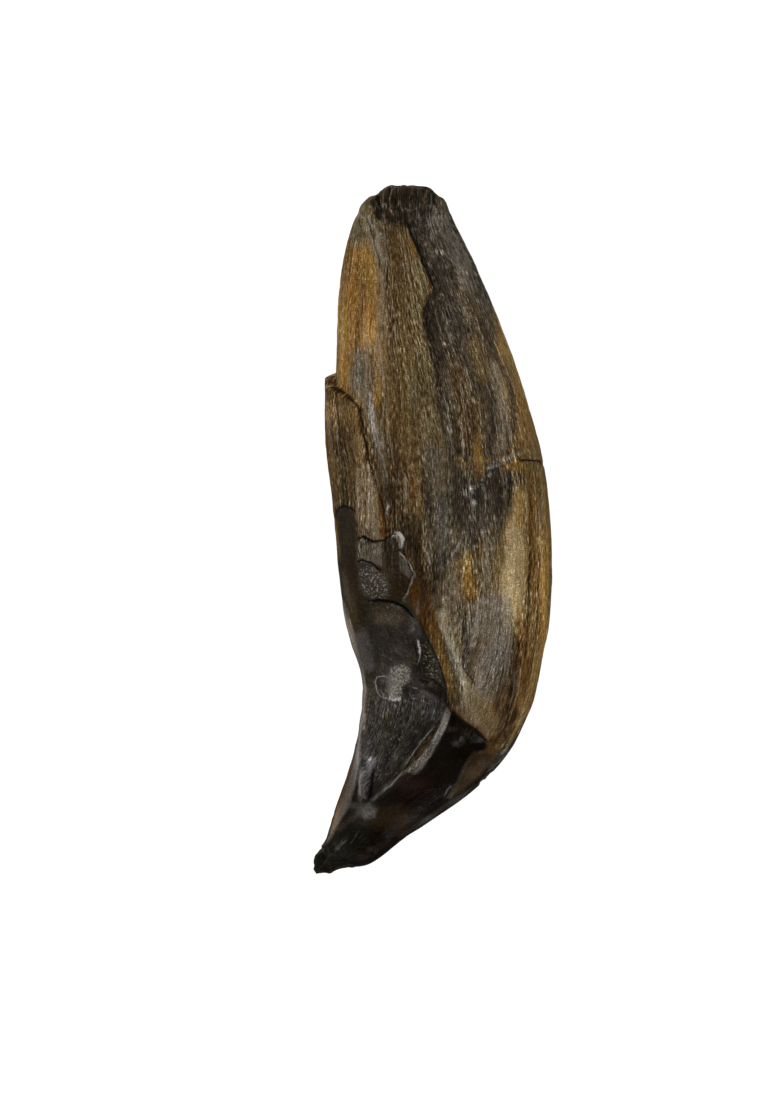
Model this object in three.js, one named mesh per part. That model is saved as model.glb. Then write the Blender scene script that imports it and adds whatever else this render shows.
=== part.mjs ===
// A fossil bear canine, lying on its side. Millimetres, +Z up.
// X runs across the tooth, Y from the crown tip (-Y) to the root end (+Y), and Z up from the surface it lies on.
// It grew and mineralised as one piece, so it is one closed mesh: a loft between two side rails, with its relief
// (the flaked outer layer, the root step, the bared dentine, the chips and grooves) raised or sunk on that loft.
import * as THREE from "three";
import { mergeVertices } from "three/addons/utils/BufferGeometryUtils.js";

// Overall size of the tooth
const LENGTH = 60.9;
const WIDTH = 21.1;
const THICKNESS = 12.7;
const WORN_DEPTH = 0.25; // how much of the underside is rubbed flat, where it rests

// Fineness of the mesh
const UPPER_STEPS = 38; // steps round the upper side of each ring
const UNDER_STEPS = 26; // steps round the underside of each ring
const RINGS = 77; // rings from the root end to the tip
const END_CROWDING = 0.3; // share by which rings crowd towards the two ends
const SQUARENESS = 2.25; // exponent of the ring's shape: 2 is an ellipse, more is boxier

// Sections from the root end to the crown tip: left edge x, y, right edge x, y, then the underside's and the top's z.
// They turn with the tooth, so that the last ones lie square to the bent crown.
const SECTIONS = [
  [-2.5, 30.45, -2.5, 30.45, 5.3, 5.3],
  [-3.9, 30.35, -0.7, 30.45, 3.9, 6.8],
  [-4.85, 30.0, 0.15, 30.1, 3.0, 7.9],
  [-5.75, 29.45, 0.95, 29.5, 2.4, 8.6],
  [-6.5, 28.7, 1.5, 28.7, 2.0, 9.1],
  [-6.9, 27.9, 1.85, 27.7, 1.7, 9.5],
  [-7.45, 26.0, 2.75, 25.8, 1.3, 10.1],
  [-8.0, 23.6, 3.8, 23.6, 0.95, 10.7],
  [-8.35, 20.6, 5.1, 20.6, 0.55, 11.3],
  [-8.5, 17.2, 6.45, 17.2, 0.2, 11.8],
  [-8.6, 13.7, 7.7, 13.7, -0.05, 12.2],
  [-8.65, 10.1, 8.8, 10.1, -0.15, 12.45],
  [-8.6, 6.6, 9.7, 6.6, -0.22, 12.6],
  [-8.5, 2.6, 10.3, 2.6, -0.25, 12.65],
  [-8.4, -1.3, 10.55, -1.5, -0.25, 12.6],
  [-8.2, -4.6, 10.55, -5.3, -0.2, 12.4],
  [-7.85, -7.5, 10.3, -8.4, -0.1, 12.0],
  [-7.25, -10.0, 9.8, -10.9, 0.0, 11.5],
  [-6.6, -11.8, 8.95, -14.8, 0.2, 10.9],
  [-6.2, -13.5, 7.4, -18.5, 0.5, 10.1],
  [-6.1, -14.8, 5.85, -20.75, 0.75, 9.5],
  [-6.1, -16.2, 3.9, -22.7, 1.0, 8.9],
  [-6.3, -17.7, 1.75, -24.35, 1.2, 8.3],
  [-6.65, -19.3, -0.35, -25.8, 1.4, 7.7],
  [-7.3, -20.9, -2.15, -26.9, 1.6, 7.2],
  [-7.85, -22.5, -3.45, -27.9, 1.75, 6.7],
  [-8.4, -24.2, -4.6, -28.8, 1.9, 6.25],
  [-8.9, -25.9, -5.8, -29.5, 2.05, 5.85],
  [-9.4, -27.4, -7.15, -29.75, 2.2, 5.5],
  [-9.95, -28.2, -8.45, -30.05, 2.4, 5.2],
  [-10.2, -28.9, -9.5, -30.3, 2.7, 4.8],
  [-10.4, -30.2, -10.4, -30.2, 3.7, 3.7],
];

// Lines and patches of the relief, as x, y seen from above
const LAYER_EDGE = [
  [-12, 12.7],
  [-8.4, 12.7],
  [-7.1, 11.8],
  [-6.5, 11.1],
  [-6.3, 9.3],
  [-5.6, 5.7],
  [-4.4, 2.2],
  [-4.1, -0.5],
  [-5.2, -3.2],
];
const ROOT_STEP = [
  [-2.5, 28.2],
  [-1.3, 25.2],
  [0.1, 21.4],
  [-0.5, 20.4],
  [-0.7, 18.4],
  [0.1, 14.3],
  [0.7, 8.0],
];
const NECK = [
  [-2.9, -5.4],
  [-1.7, -7.1],
  [0.4, -12.2],
  [1.8, -15.7],
  [3.4, -17.7],
  [6.2, -20.3],
];
const BARED_DENTINE = [
  [-5.9, -6.6],
  [-4.4, -5.9],
  [-2.9, -5.6],
  [-1.7, -7.1],
  [0.4, -12.2],
  [1.8, -15.9],
  [0.0, -19.2],
  [-2.8, -21.6],
  [-5.4, -24.0],
  [-6.0, -21.6],
  [-5.3, -15.5],
  [-5.9, -10.5],
];
const ENAMEL_HOLLOW = [
  [2.4, -16.6],
  [4.4, -18.6],
  [2.6, -21.2],
  [0.4, -21.4],
  [0.6, -19.4],
];
const NECK_FLAKE = [
  [-6.6, -0.9],
  [-4.1, -0.9],
  [-3.4, -0.2],
  [-2.6, -0.3],
  [-2.5, -1.6],
  [-1.6, -3.8],
  [-2.0, -5.6],
  [-5.0, -6.0],
  [-6.6, -2.6],
];
const RIM_CREST = [
  [-5.5, -15.0],
  [-5.8, -18.5],
  [-6.5, -22.0],
  [-7.4, -24.3],
  [-8.5, -27.0],
];
const CHIP_LINE = [
  [2.7, 2.9],
  [3.8, 4.0],
  [5.1, 5.5],
  [6.3, 6.6],
  [8.0, 7.1],
];

// Heights of the relief
const LAYER_RIM_RISE = 0.95; // the outer layer at the tooth's left edge
const LAYER_FACE_RISE = 0.55; // the same layer where it ends on the upper side
const STEP_DROP = 0.38;
const NECK_RISE = 0.45;
const DENTINE_DEPTH = 0.5;
const HOLLOW_DEPTH = 0.35;
const FLAKE_RISE = 0.26;
const CREST_RISE = 0.42;
const CHIP_DROP = 0.16;
const FIBRE_RISE = 0.07;
const UNDER_FIBRE_SHIFT = 5; // the far side's fibres run on their own pattern
const UNDER_NECK_RISE = 0.25; // the whole enamel of the far side, above the root's level
const UNDER_NECK_DOWN = 9.5; // how far below the middle that enamel starts
const UNDER_NECK_SLANT = 0.35;
const UNDER_GROOVE_DEPTH = 0.4; // the long groove down the far side of the root
const END_KNOBS = 0.3;
const TIP_CHIPS = 0.16;

const { smoothstep, lerp, clamp } = THREE.MathUtils;

// Where (x, y) lies by an open line: how far off it, positive on the right of its travel, and its share along it.
function besideLine(line, x, y) {
  const spot = { off: Infinity, share: 0 };
  for (let i = 0; i + 1 < line.length; i++) {
    const [ax, ay] = line[i];
    const [dx, dy] = [line[i + 1][0] - ax, line[i + 1][1] - ay];
    const along = clamp(((x - ax) * dx + (y - ay) * dy) / (dx * dx + dy * dy), 0, 1);
    const distance = Math.hypot(x - ax - dx * along, y - ay - dy * along);
    if (distance < Math.abs(spot.off)) {
      const rightOfTravel = (x - ax) * dy - (y - ay) * dx >= 0;
      spot.off = rightOfTravel ? distance : -distance;
      spot.share = (i + along) / (line.length - 1);
    }
  }
  return spot;
}

// How deep (x, y) lies inside a closed outline: negative outside it.
function depthInside(outline, x, y) {
  const loop = [...outline, outline[0]];
  const distance = Math.abs(besideLine(loop, x, y).off);
  let inside = false;
  for (let i = 0; i + 1 < loop.length; i++) {
    const [[ax, ay], [bx, by]] = [loop[i], loop[i + 1]];
    if (ay > y !== by > y && x < ax + ((y - ay) * (bx - ax)) / (by - ay)) inside = !inside;
  }
  return inside ? distance : -distance;
}

// A value that changes with y, eased between hand-set stops of [y, value] in falling y.
function alongTooth(stops, y) {
  for (let i = 0; i + 1 < stops.length; i++) {
    const [[highY, high], [lowY, low]] = [stops[i], stops[i + 1]];
    if (y > lowY) return lerp(low, high, smoothstep(y, lowY, highY));
  }
  return stops.at(-1)[1];
}

// The outer layer that still covers the left edge, ending in a broken ledge.
const LAYER_COVER = [
  [13.9, 0],
  [13.5, 1],
  [7.6, 1],
  [3.8, 0.52],
  [0.6, 0.28],
  [-3.4, 0.12],
  [-6.2, 0],
];
const LAYER_UNDER_REACH = -0.35; // how far across it wraps under the tooth, from -1 at the left edge to 1

function outerLayer(x, y, across, rise) {
  const cover = alongTooth(LAYER_COVER, y);
  if (rise < 0) return LAYER_RIM_RISE * cover * (1 - smoothstep(across, -0.8, LAYER_UNDER_REACH));
  const ledge = smoothstep(besideLine(LAYER_EDGE, x, y).off, -0.1, 0.35);
  return lerp(LAYER_RIM_RISE, LAYER_FACE_RISE, smoothstep(across, -1, -0.75)) * cover * ledge;
}

// The step down the middle of the root, its right side lower.
function rootStep(x, y) {
  const { off, share } = besideLine(ROOT_STEP, x, y);
  const length = smoothstep(share, 0, 0.15) * (1 - smoothstep(share, 0.6, 1));
  const drop = smoothstep(-off, -0.1, 0.45) * (1 - smoothstep(-off, 0.8, 5));
  return -STEP_DROP * length * drop;
}

// The root standing proud of the crown along the neck crease.
function neckRise(x, y) {
  const { off, share } = besideLine(NECK, x, y);
  const length = smoothstep(share, 0, 0.2) * (1 - smoothstep(share, 0.85, 1));
  return NECK_RISE * length * smoothstep(-off, -0.3, 0.35) * (1 - smoothstep(-off, 1, 6));
}

function patch(outline, height, x, y, edge) {
  return height * smoothstep(depthInside(outline, x, y), -edge / 2, edge);
}

function rimCrest(x, y) {
  const { off, share } = besideLine(RIM_CREST, x, y);
  return CREST_RISE * Math.exp(-((off / 0.55) ** 2)) * Math.sin(Math.PI * clamp(share, 0.05, 0.95));
}

function chipLine(x, y) {
  const { off, share } = besideLine(CHIP_LINE, x, y);
  const length = Math.sin(Math.PI * clamp(share, 0, 1));
  return -CHIP_DROP * length * smoothstep(off, -0.2, 0.4) * (1 - smoothstep(off, 0.8, 3));
}

// Lengthwise fibres of the root, as shallow grooves that wander a little.
function fibres(across, y) {
  const wander = 0.35 * Math.sin(y * 0.21) + 0.2 * Math.sin(y * 0.47 + 1);
  const grooves = Math.sin(across * 23 + wander * 5) + 0.7 * Math.sin(across * 37 + 2 - wander * 7);
  return FIBRE_RISE * 0.6 * grooves * smoothstep(y, -16, -4);
}

// The long shallow groove that the root has down its far side.
function underGroove(across, y) {
  const width = Math.exp(-(((across - 0.5) / 0.14) ** 2));
  return -UNDER_GROOVE_DEPTH * width * smoothstep(y, -5, 4) * (1 - smoothstep(y, 19, 27));
}

// The broken, knobbly root end and the chipped crown tip.
function brokenEnds(x, y, z) {
  const knobs = Math.sin(x * 2.2 + z) * Math.cos(z * 1.7 - y * 1.3) + 0.5 * Math.sin(y * 2.3 + x * 1.3 + z * 2.4);
  const rootEnd = END_KNOBS * smoothstep(y, 27.4, 29.2);
  const tip = TIP_CHIPS * smoothstep(-x - 0.3 * y, 16.6, 18.6);
  return knobs * (rootEnd + tip);
}

// All of the relief at a point of the plain loft: how far it stands out of the surface there.
function relief(point, across, rise) {
  const { x, y, z } = point;
  const upper = smoothstep(rise, 0.05, 0.4);
  const under = smoothstep(-rise, 0.05, 0.4);
  const upperRelief =
    rootStep(x, y) +
    neckRise(x, y) +
    patch(BARED_DENTINE, -DENTINE_DEPTH, x, y, 0.5) +
    patch(ENAMEL_HOLLOW, -HOLLOW_DEPTH, x, y, 1.4) +
    patch(NECK_FLAKE, FLAKE_RISE, x, y, 0.4) +
    rimCrest(x, y) +
    chipLine(x, y);
  const pastNeck = -y - UNDER_NECK_SLANT * x - UNDER_NECK_DOWN;
  const underRelief = UNDER_NECK_RISE * smoothstep(pastNeck, -0.3, 0.4) + underGroove(across, y);
  return (
    outerLayer(x, y, across, rise) +
    upper * upperRelief +
    under * underRelief +
    fibres(rise < 0 ? across + UNDER_FIBRE_SHIFT : across, y) * (upper + under) +
    brokenEnds(x, y, z)
  );
}

// The tooth's plain form: rails down both edges, and rails for the underside and the top.
function rail(pick) {
  return new THREE.CatmullRomCurve3(SECTIONS.map(pick), false, "centripetal");
}
const leftRail = rail(([x, y]) => new THREE.Vector3(x, y, 0));
const rightRail = rail(([, , x, y]) => new THREE.Vector3(x, y, 0));
const middle = rail(([ax, ay, bx, by, under, top]) => {
  return new THREE.Vector3((ax + bx) / 2, (ay + by) / 2, (under + top) / 2);
});
const halfHeight = rail(([ax, ay, bx, by, under, top], i) => new THREE.Vector3(i, (top - under) / 2, 0));

function boxy(value) {
  return Math.sign(value) * Math.abs(value) ** (2 / SQUARENESS);
}

function ringStations() {
  return Array.from({ length: RINGS + 1 }, (_, ring) => {
    const even = ring / RINGS;
    const crowded = (1 - Math.cos(Math.PI * even)) / 2;
    return middle.getUtoTmapping(lerp(even, crowded, END_CROWDING));
  });
}

function ringAngle(step) {
  if (step <= UPPER_STEPS) return (Math.PI * step) / UPPER_STEPS;
  return Math.PI + (Math.PI * (step - UPPER_STEPS)) / UNDER_STEPS;
}

// One point of the surface: on the plain loft, then moved out along its ring's normal by the relief.
function surfacePoint(t, angle) {
  const left = leftRail.getPoint(t);
  const right = rightRail.getPoint(t);
  const height = halfHeight.getPoint(t).y;
  const halfChord = right.clone().sub(left).multiplyScalar(0.5);
  const across = boxy(-Math.cos(angle));
  const rise = boxy(Math.sin(angle));
  const point = left.add(right).multiplyScalar(0.5);
  point.z = middle.getPoint(t).z + height * rise;
  point.addScaledVector(halfChord, across);
  if (height < 1e-3) return point;
  const power = SQUARENESS - 1;
  const outX = (Math.sign(across) * Math.abs(across) ** power) / halfChord.length();
  const outZ = (Math.sign(rise) * Math.abs(rise) ** power) / height;
  const outward = halfChord.clone().normalize().multiplyScalar(outX);
  outward.z = outZ;
  return point.addScaledVector(outward.normalize(), relief(point, across, rise));
}

// A sphere's mesh, pole to pole, gives the loft its closed grid of faces.
function loftGeometry() {
  const around = UPPER_STEPS + UNDER_STEPS;
  const geometry = new THREE.SphereGeometry(1, around, RINGS);
  ringStations().forEach((t, ring) => {
    for (let step = 0; step <= around; step++) {
      const point = surfacePoint(t, ringAngle(step % around));
      geometry.attributes.position.setXYZ(ring * (around + 1) + step, ...point);
    }
  });
  geometry.deleteAttribute("normal");
  geometry.deleteAttribute("uv");
  return mergeVertices(geometry, 1e-4);
}

// The loft brought to the tooth's overall size, centred over the origin, its underside rubbed flat at z = 0.
function fitToSize(geometry) {
  geometry.computeBoundingBox();
  const { min, max } = geometry.boundingBox;
  const full = max.clone().sub(min);
  geometry.translate(-(min.x + max.x) / 2, -(min.y + max.y) / 2, -min.z);
  geometry.scale(WIDTH / full.x, LENGTH / full.y, (THICKNESS + WORN_DEPTH) / full.z);
  const position = geometry.attributes.position;
  for (let i = 0; i < position.count; i++) position.setZ(i, Math.max(0, position.getZ(i) - WORN_DEPTH));
  return geometry;
}

const tooth = new THREE.Mesh(
  fitToSize(loftGeometry()),
  new THREE.MeshStandardMaterial({ color: 0x4a3a26, roughness: 0.45, metalness: 0 }),
);
tooth.name = "tooth";

const group = new THREE.Group();
group.add(tooth);

export default group;
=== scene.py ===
"""The looks of a fossil bear canine lying on its side: a fine skin over the tooth's loft, stained and worn.

The tooth's sections are in millimetres: +X across, +Y towards the root end, +Z up.
Its marks are placed in points (u, v) of the straight-down view, 763 wide and 1100 high, with v downwards.
About 11.3 points make a millimetre on the tooth. The relief is in millimetres, and colours are sRGB.
"""

import math

import bpy
import numpy as np
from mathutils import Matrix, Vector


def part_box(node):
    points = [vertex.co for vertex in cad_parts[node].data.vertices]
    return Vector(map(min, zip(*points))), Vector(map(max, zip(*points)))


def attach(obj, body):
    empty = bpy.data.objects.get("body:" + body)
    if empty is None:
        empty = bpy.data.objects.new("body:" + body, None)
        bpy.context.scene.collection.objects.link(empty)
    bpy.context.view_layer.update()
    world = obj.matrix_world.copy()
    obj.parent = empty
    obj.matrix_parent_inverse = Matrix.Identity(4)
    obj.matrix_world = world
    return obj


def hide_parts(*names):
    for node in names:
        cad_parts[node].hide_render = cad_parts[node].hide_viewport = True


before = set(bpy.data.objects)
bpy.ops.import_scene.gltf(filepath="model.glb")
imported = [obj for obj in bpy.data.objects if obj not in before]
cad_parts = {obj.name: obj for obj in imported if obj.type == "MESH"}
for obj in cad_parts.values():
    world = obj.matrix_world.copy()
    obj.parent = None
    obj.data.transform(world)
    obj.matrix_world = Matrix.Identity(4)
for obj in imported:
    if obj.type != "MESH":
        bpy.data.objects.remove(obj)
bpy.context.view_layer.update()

MM = 0.001

# ---------------------------------------- the tooth's plain form, as in the solid

WORN_DEPTH = 0.25
SQUARENESS = 2.25
UPPER_STEPS = 168
UNDER_STEPS = 72
RING_STEPS = UPPER_STEPS + UNDER_STEPS
RINGS = 400
END_CROWDING = 0.2
TOP_CROWDING = 0.045
GROOVE_ACROSS = 0.5  # of the half width, on the side the tooth lies on

# From the root end to the crown tip: left edge x, y, right edge x, y, then the underside's and the top's z.
SECTIONS = [
    [-2.5, 30.45, -2.5, 30.45, 5.3, 5.3],
    [-3.9, 30.35, -0.7, 30.45, 3.9, 6.8],
    [-4.85, 30.0, 0.15, 30.1, 3.0, 7.9],
    [-5.75, 29.45, 0.95, 29.5, 2.4, 8.6],
    [-6.5, 28.7, 1.5, 28.7, 2.0, 9.1],
    [-6.9, 27.9, 1.85, 27.7, 1.7, 9.5],
    [-7.45, 26.0, 2.75, 25.8, 1.3, 10.1],
    [-8.0, 23.6, 3.8, 23.6, 0.95, 10.7],
    [-8.35, 20.6, 5.1, 20.6, 0.55, 11.3],
    [-8.5, 17.2, 6.45, 17.2, 0.2, 11.8],
    [-8.6, 13.7, 7.7, 13.7, -0.05, 12.2],
    [-8.65, 10.1, 8.8, 10.1, -0.15, 12.45],
    [-8.6, 6.6, 9.7, 6.6, -0.22, 12.6],
    [-8.5, 2.6, 10.3, 2.6, -0.25, 12.65],
    [-8.4, -1.3, 10.55, -1.5, -0.25, 12.6],
    [-8.2, -4.6, 10.55, -5.3, -0.2, 12.4],
    [-7.85, -7.5, 10.3, -8.4, -0.1, 12.0],
    [-7.25, -10.0, 9.8, -10.9, 0.0, 11.5],
    [-6.6, -11.8, 8.95, -14.8, 0.2, 10.9],
    [-6.2, -13.5, 7.4, -18.5, 0.5, 10.1],
    [-6.1, -14.8, 5.85, -20.75, 0.75, 9.5],
    [-6.1, -16.2, 3.9, -22.7, 1.0, 8.9],
    [-6.3, -17.7, 1.75, -24.35, 1.2, 8.3],
    [-6.65, -19.3, -0.35, -25.8, 1.4, 7.7],
    [-7.3, -20.9, -2.15, -26.9, 1.6, 7.2],
    [-7.85, -22.5, -3.45, -27.9, 1.75, 6.7],
    [-8.4, -24.2, -4.6, -28.8, 1.9, 6.25],
    [-8.9, -25.9, -5.8, -29.5, 2.05, 5.85],
    [-9.4, -27.4, -7.15, -29.75, 2.2, 5.5],
    [-9.95, -28.2, -8.45, -30.05, 2.4, 5.2],
    [-10.2, -28.9, -9.5, -30.3, 2.7, 4.8],
    [-10.4, -30.2, -10.4, -30.2, 3.7, 3.7],
]

# ---------------------------------------- the straight-down view

VIEW_WIDTH = 763
VIEW_HEIGHT = 1100
LENS_MM = 150.0
SENSOR_MM = 36.0
EYE_MM = (-4.5, -1.72, 410.0)
MM_ACROSS_PER_POINT = 0.085  # of the fibres' own measure, near the middle of the root
POINTS_PER_TURN = LENS_MM / SENSOR_MM * VIEW_HEIGHT  # points across, for a slope of one

# ---------------------------------------- lines and outlines of the marks, in view points

LAYER_EDGE = [(305, 386.5), (325.5, 386.5), (337.5, 385.5), (346, 392.5), (351, 397.5), (359.5, 407),
    (361.5, 418), (363.5, 435), (366, 447), (369.5, 461), (373, 474.5), (379, 493), (384.5, 512),
    (386, 537)]
ROOT_STEP = [(404, 214), (408, 226), (413.5, 238), (418, 250), (422, 261.5), (427.5, 270), (431.5, 280.5),
    (435, 287), (429, 294), (425.5, 304), (423, 316), (425, 331.5), (428, 345), (432.5, 358.5),
    (434, 367), (436, 395), (438, 430)]
NECK = [(404, 598), (411, 608), (419, 620), (425.5, 633.5), (434, 650.5), (441, 666), (444.5, 679.5),
    (447, 688), (446, 701.5), (451, 710), (463, 720), (476.5, 728.5), (485, 737), (488.5, 742.5),
    (487, 749), (480, 753)]
BARED_DENTINE = [(357, 604), (375, 603), (392, 599), (404, 604), (411, 609), (419, 621), (425, 634),
    (433.5, 651), (440, 666), (446, 688), (445.5, 702), (450, 709), (444, 725), (434, 742), (424, 759),
    (416, 769), (402, 773), (392, 783), (372, 801), (366, 797), (363, 775), (365, 740), (368, 705),
    (366, 680), (362, 655), (356, 630)]
NECK_FLAKE = [(357, 539), (363.5, 534.5), (373, 540.5), (383, 539), (391.5, 533.5), (398.5, 532.5),
    (403, 539), (402.5, 549), (407, 561), (413, 573.5), (408.5, 583), (404, 600), (390, 603), (375, 601),
    (357, 596)]
RIM_CREST = [(368, 680), (365, 700), (364, 725), (363.5, 745), (361, 770), (356, 792), (348, 809),
    (338, 825), (326, 845)]
CHIP_LINE = [(463, 493), (475, 488), (485, 476), (493.5, 466), (502, 459), (522, 452)]
ENAMEL_EDGE = [(449.5, 708.5), (446, 725.5), (436, 745.5), (427.5, 759.5), (418, 770), (402, 774),
    (392, 784), (381.5, 793), (372, 801)]
WINDOW_EDGE = [(432.5, 729), (419, 744), (409, 759), (402, 768)]
FACET = [(475, 754), (487, 751), (502, 751), (497, 761), (483.5, 773), (466.5, 788), (449.5, 799),
    (458, 783), (463, 771)]
EDGE_CRACK = [(505, 751), (498, 762), (490, 773), (481, 782)]
RIGHT_CRACK = [(520, 459.5), (530, 459), (541, 459.5), (544, 465), (546, 480), (548, 500), (548, 520),
    (545, 534), (541, 541)]

RING_MARK = [(385, 678.5), (380, 677), (373, 677.8), (370.5, 683), (372, 691), (376.5, 698), (385, 700),
    (395, 700.7)]
SPECKLED_PATCH = [(386.6, 669), (402, 664), (408.7, 669), (408.7, 681), (402, 688), (397, 700),
    (385, 698), (385, 681)]
WORN_FLAKE = [(357.5, 564), (373, 564), (383, 573), (391, 584), (388, 598), (370, 599), (360, 588)]
FLAKE_ARC = [(357.5, 561), (363, 559), (373, 562.5), (381.5, 571)]
LOWER_ARC = [(369, 601), (378, 599), (390, 601), (400, 606), (408, 612)]
FLAKE_CHIP = [(400, 551), (406, 560), (413, 573)]
FLAKE_SIDE = [(413, 574), (409, 585), (404, 600)]
CAPSULE = [(338, 520), (341, 508), (346, 505), (353, 508), (356.5, 517), (357, 562), (350, 568), (340, 566)]
NECK_NICK = [(407, 612), (417, 616), (420, 634), (414, 640), (409, 630)]
FACET_RIDGE = [(475, 754), (468, 763), (463, 773), (450, 797)]
RIM_SLIT = [(371, 769), (369.5, 785), (368.5, 801)]
ROOT_THORN = [(453, 554), (457, 547), (461.5, 539)]


# ---------------------------------------- small helpers


def smooth(low, high, value):
    share = np.clip((value - low) / (high - low), 0.0, 1.0)
    return share * share * (3.0 - 2.0 * share)


def mix(a, b, share):
    return a + (b - a) * share


def scatter(ix, iy, seed):
    """A fixed number from 0 to 1 for each whole pair and seed."""
    word = (ix * 374761393 + iy * 668265263 + seed * 1442695041) & 0xFFFFFFFF
    word = ((word ^ (word >> 13)) * 1274126177) & 0xFFFFFFFF
    return ((word ^ (word >> 16)) & 0xFFFFFF) / float(0xFFFFFF)


def value_noise(x, y, seed):
    ix, iy = np.floor(x).astype(np.int64), np.floor(y).astype(np.int64)
    fx, fy = x - ix, y - iy
    fx, fy = fx * fx * (3 - 2 * fx), fy * fy * (3 - 2 * fy)
    low = mix(scatter(ix, iy, seed), scatter(ix + 1, iy, seed), fx)
    high = mix(scatter(ix, iy + 1, seed), scatter(ix + 1, iy + 1, seed), fx)
    return mix(low, high, fy) * 2.0 - 1.0


def layered_noise(x, y, seed, layers=3):
    """From about -1 to 1, each layer twice as fine and half as strong."""
    total = sum(value_noise(x * 2**i, y * 2**i, seed + i) / 2**i for i in range(layers))
    return total / (2.0 - 0.5 ** (layers - 1))


def rail(points, shares):
    """Centripetal Catmull-Rom through the points, at shares from 0 to 1 of its stretches."""
    points = np.asarray(points, float)
    ends = [2 * points[0] - points[1]], [2 * points[-1] - points[-2]]
    knots = np.concatenate([ends[0], points, ends[1]])
    steps = np.sqrt(np.maximum(np.linalg.norm(np.diff(knots, axis=0), axis=1), 1e-8))
    place = np.clip(shares, 0, 1) * (len(points) - 1)
    i = np.minimum(place.astype(int), len(points) - 2)
    t = (place - i)[:, None]
    before, here, after = steps[i][:, None], steps[i + 1][:, None], steps[i + 2][:, None]
    p0, p1, p2, p3 = (knots[i + k] for k in range(4))
    leave = ((p1 - p0) / before - (p2 - p0) / (before + here) + (p2 - p1) / here) * here
    arrive = ((p2 - p1) / here - (p3 - p1) / (here + after) + (p3 - p2) / after) * here
    a = 2 * p1 - 2 * p2 + leave + arrive
    b = 3 * p2 - 3 * p1 - 2 * leave - arrive
    return ((a * t + b) * t + leave) * t + p1


def boxy(value):
    """A circle's reach, swollen towards a square's."""
    return np.sign(value) * np.abs(value) ** (2 / SQUARENESS)


def spread(values):
    """One value for each ring, repeated for each vertex round it."""
    return np.repeat(values, RING_STEPS, axis=0)


def linear(colour):
    value = np.asarray(colour, float) / 255.0
    return np.where(value <= 0.04045, value / 12.92, ((value + 0.055) / 1.055) ** 2.4)


# ---------------------------------------- the skin: one value of each thing for each vertex


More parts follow.
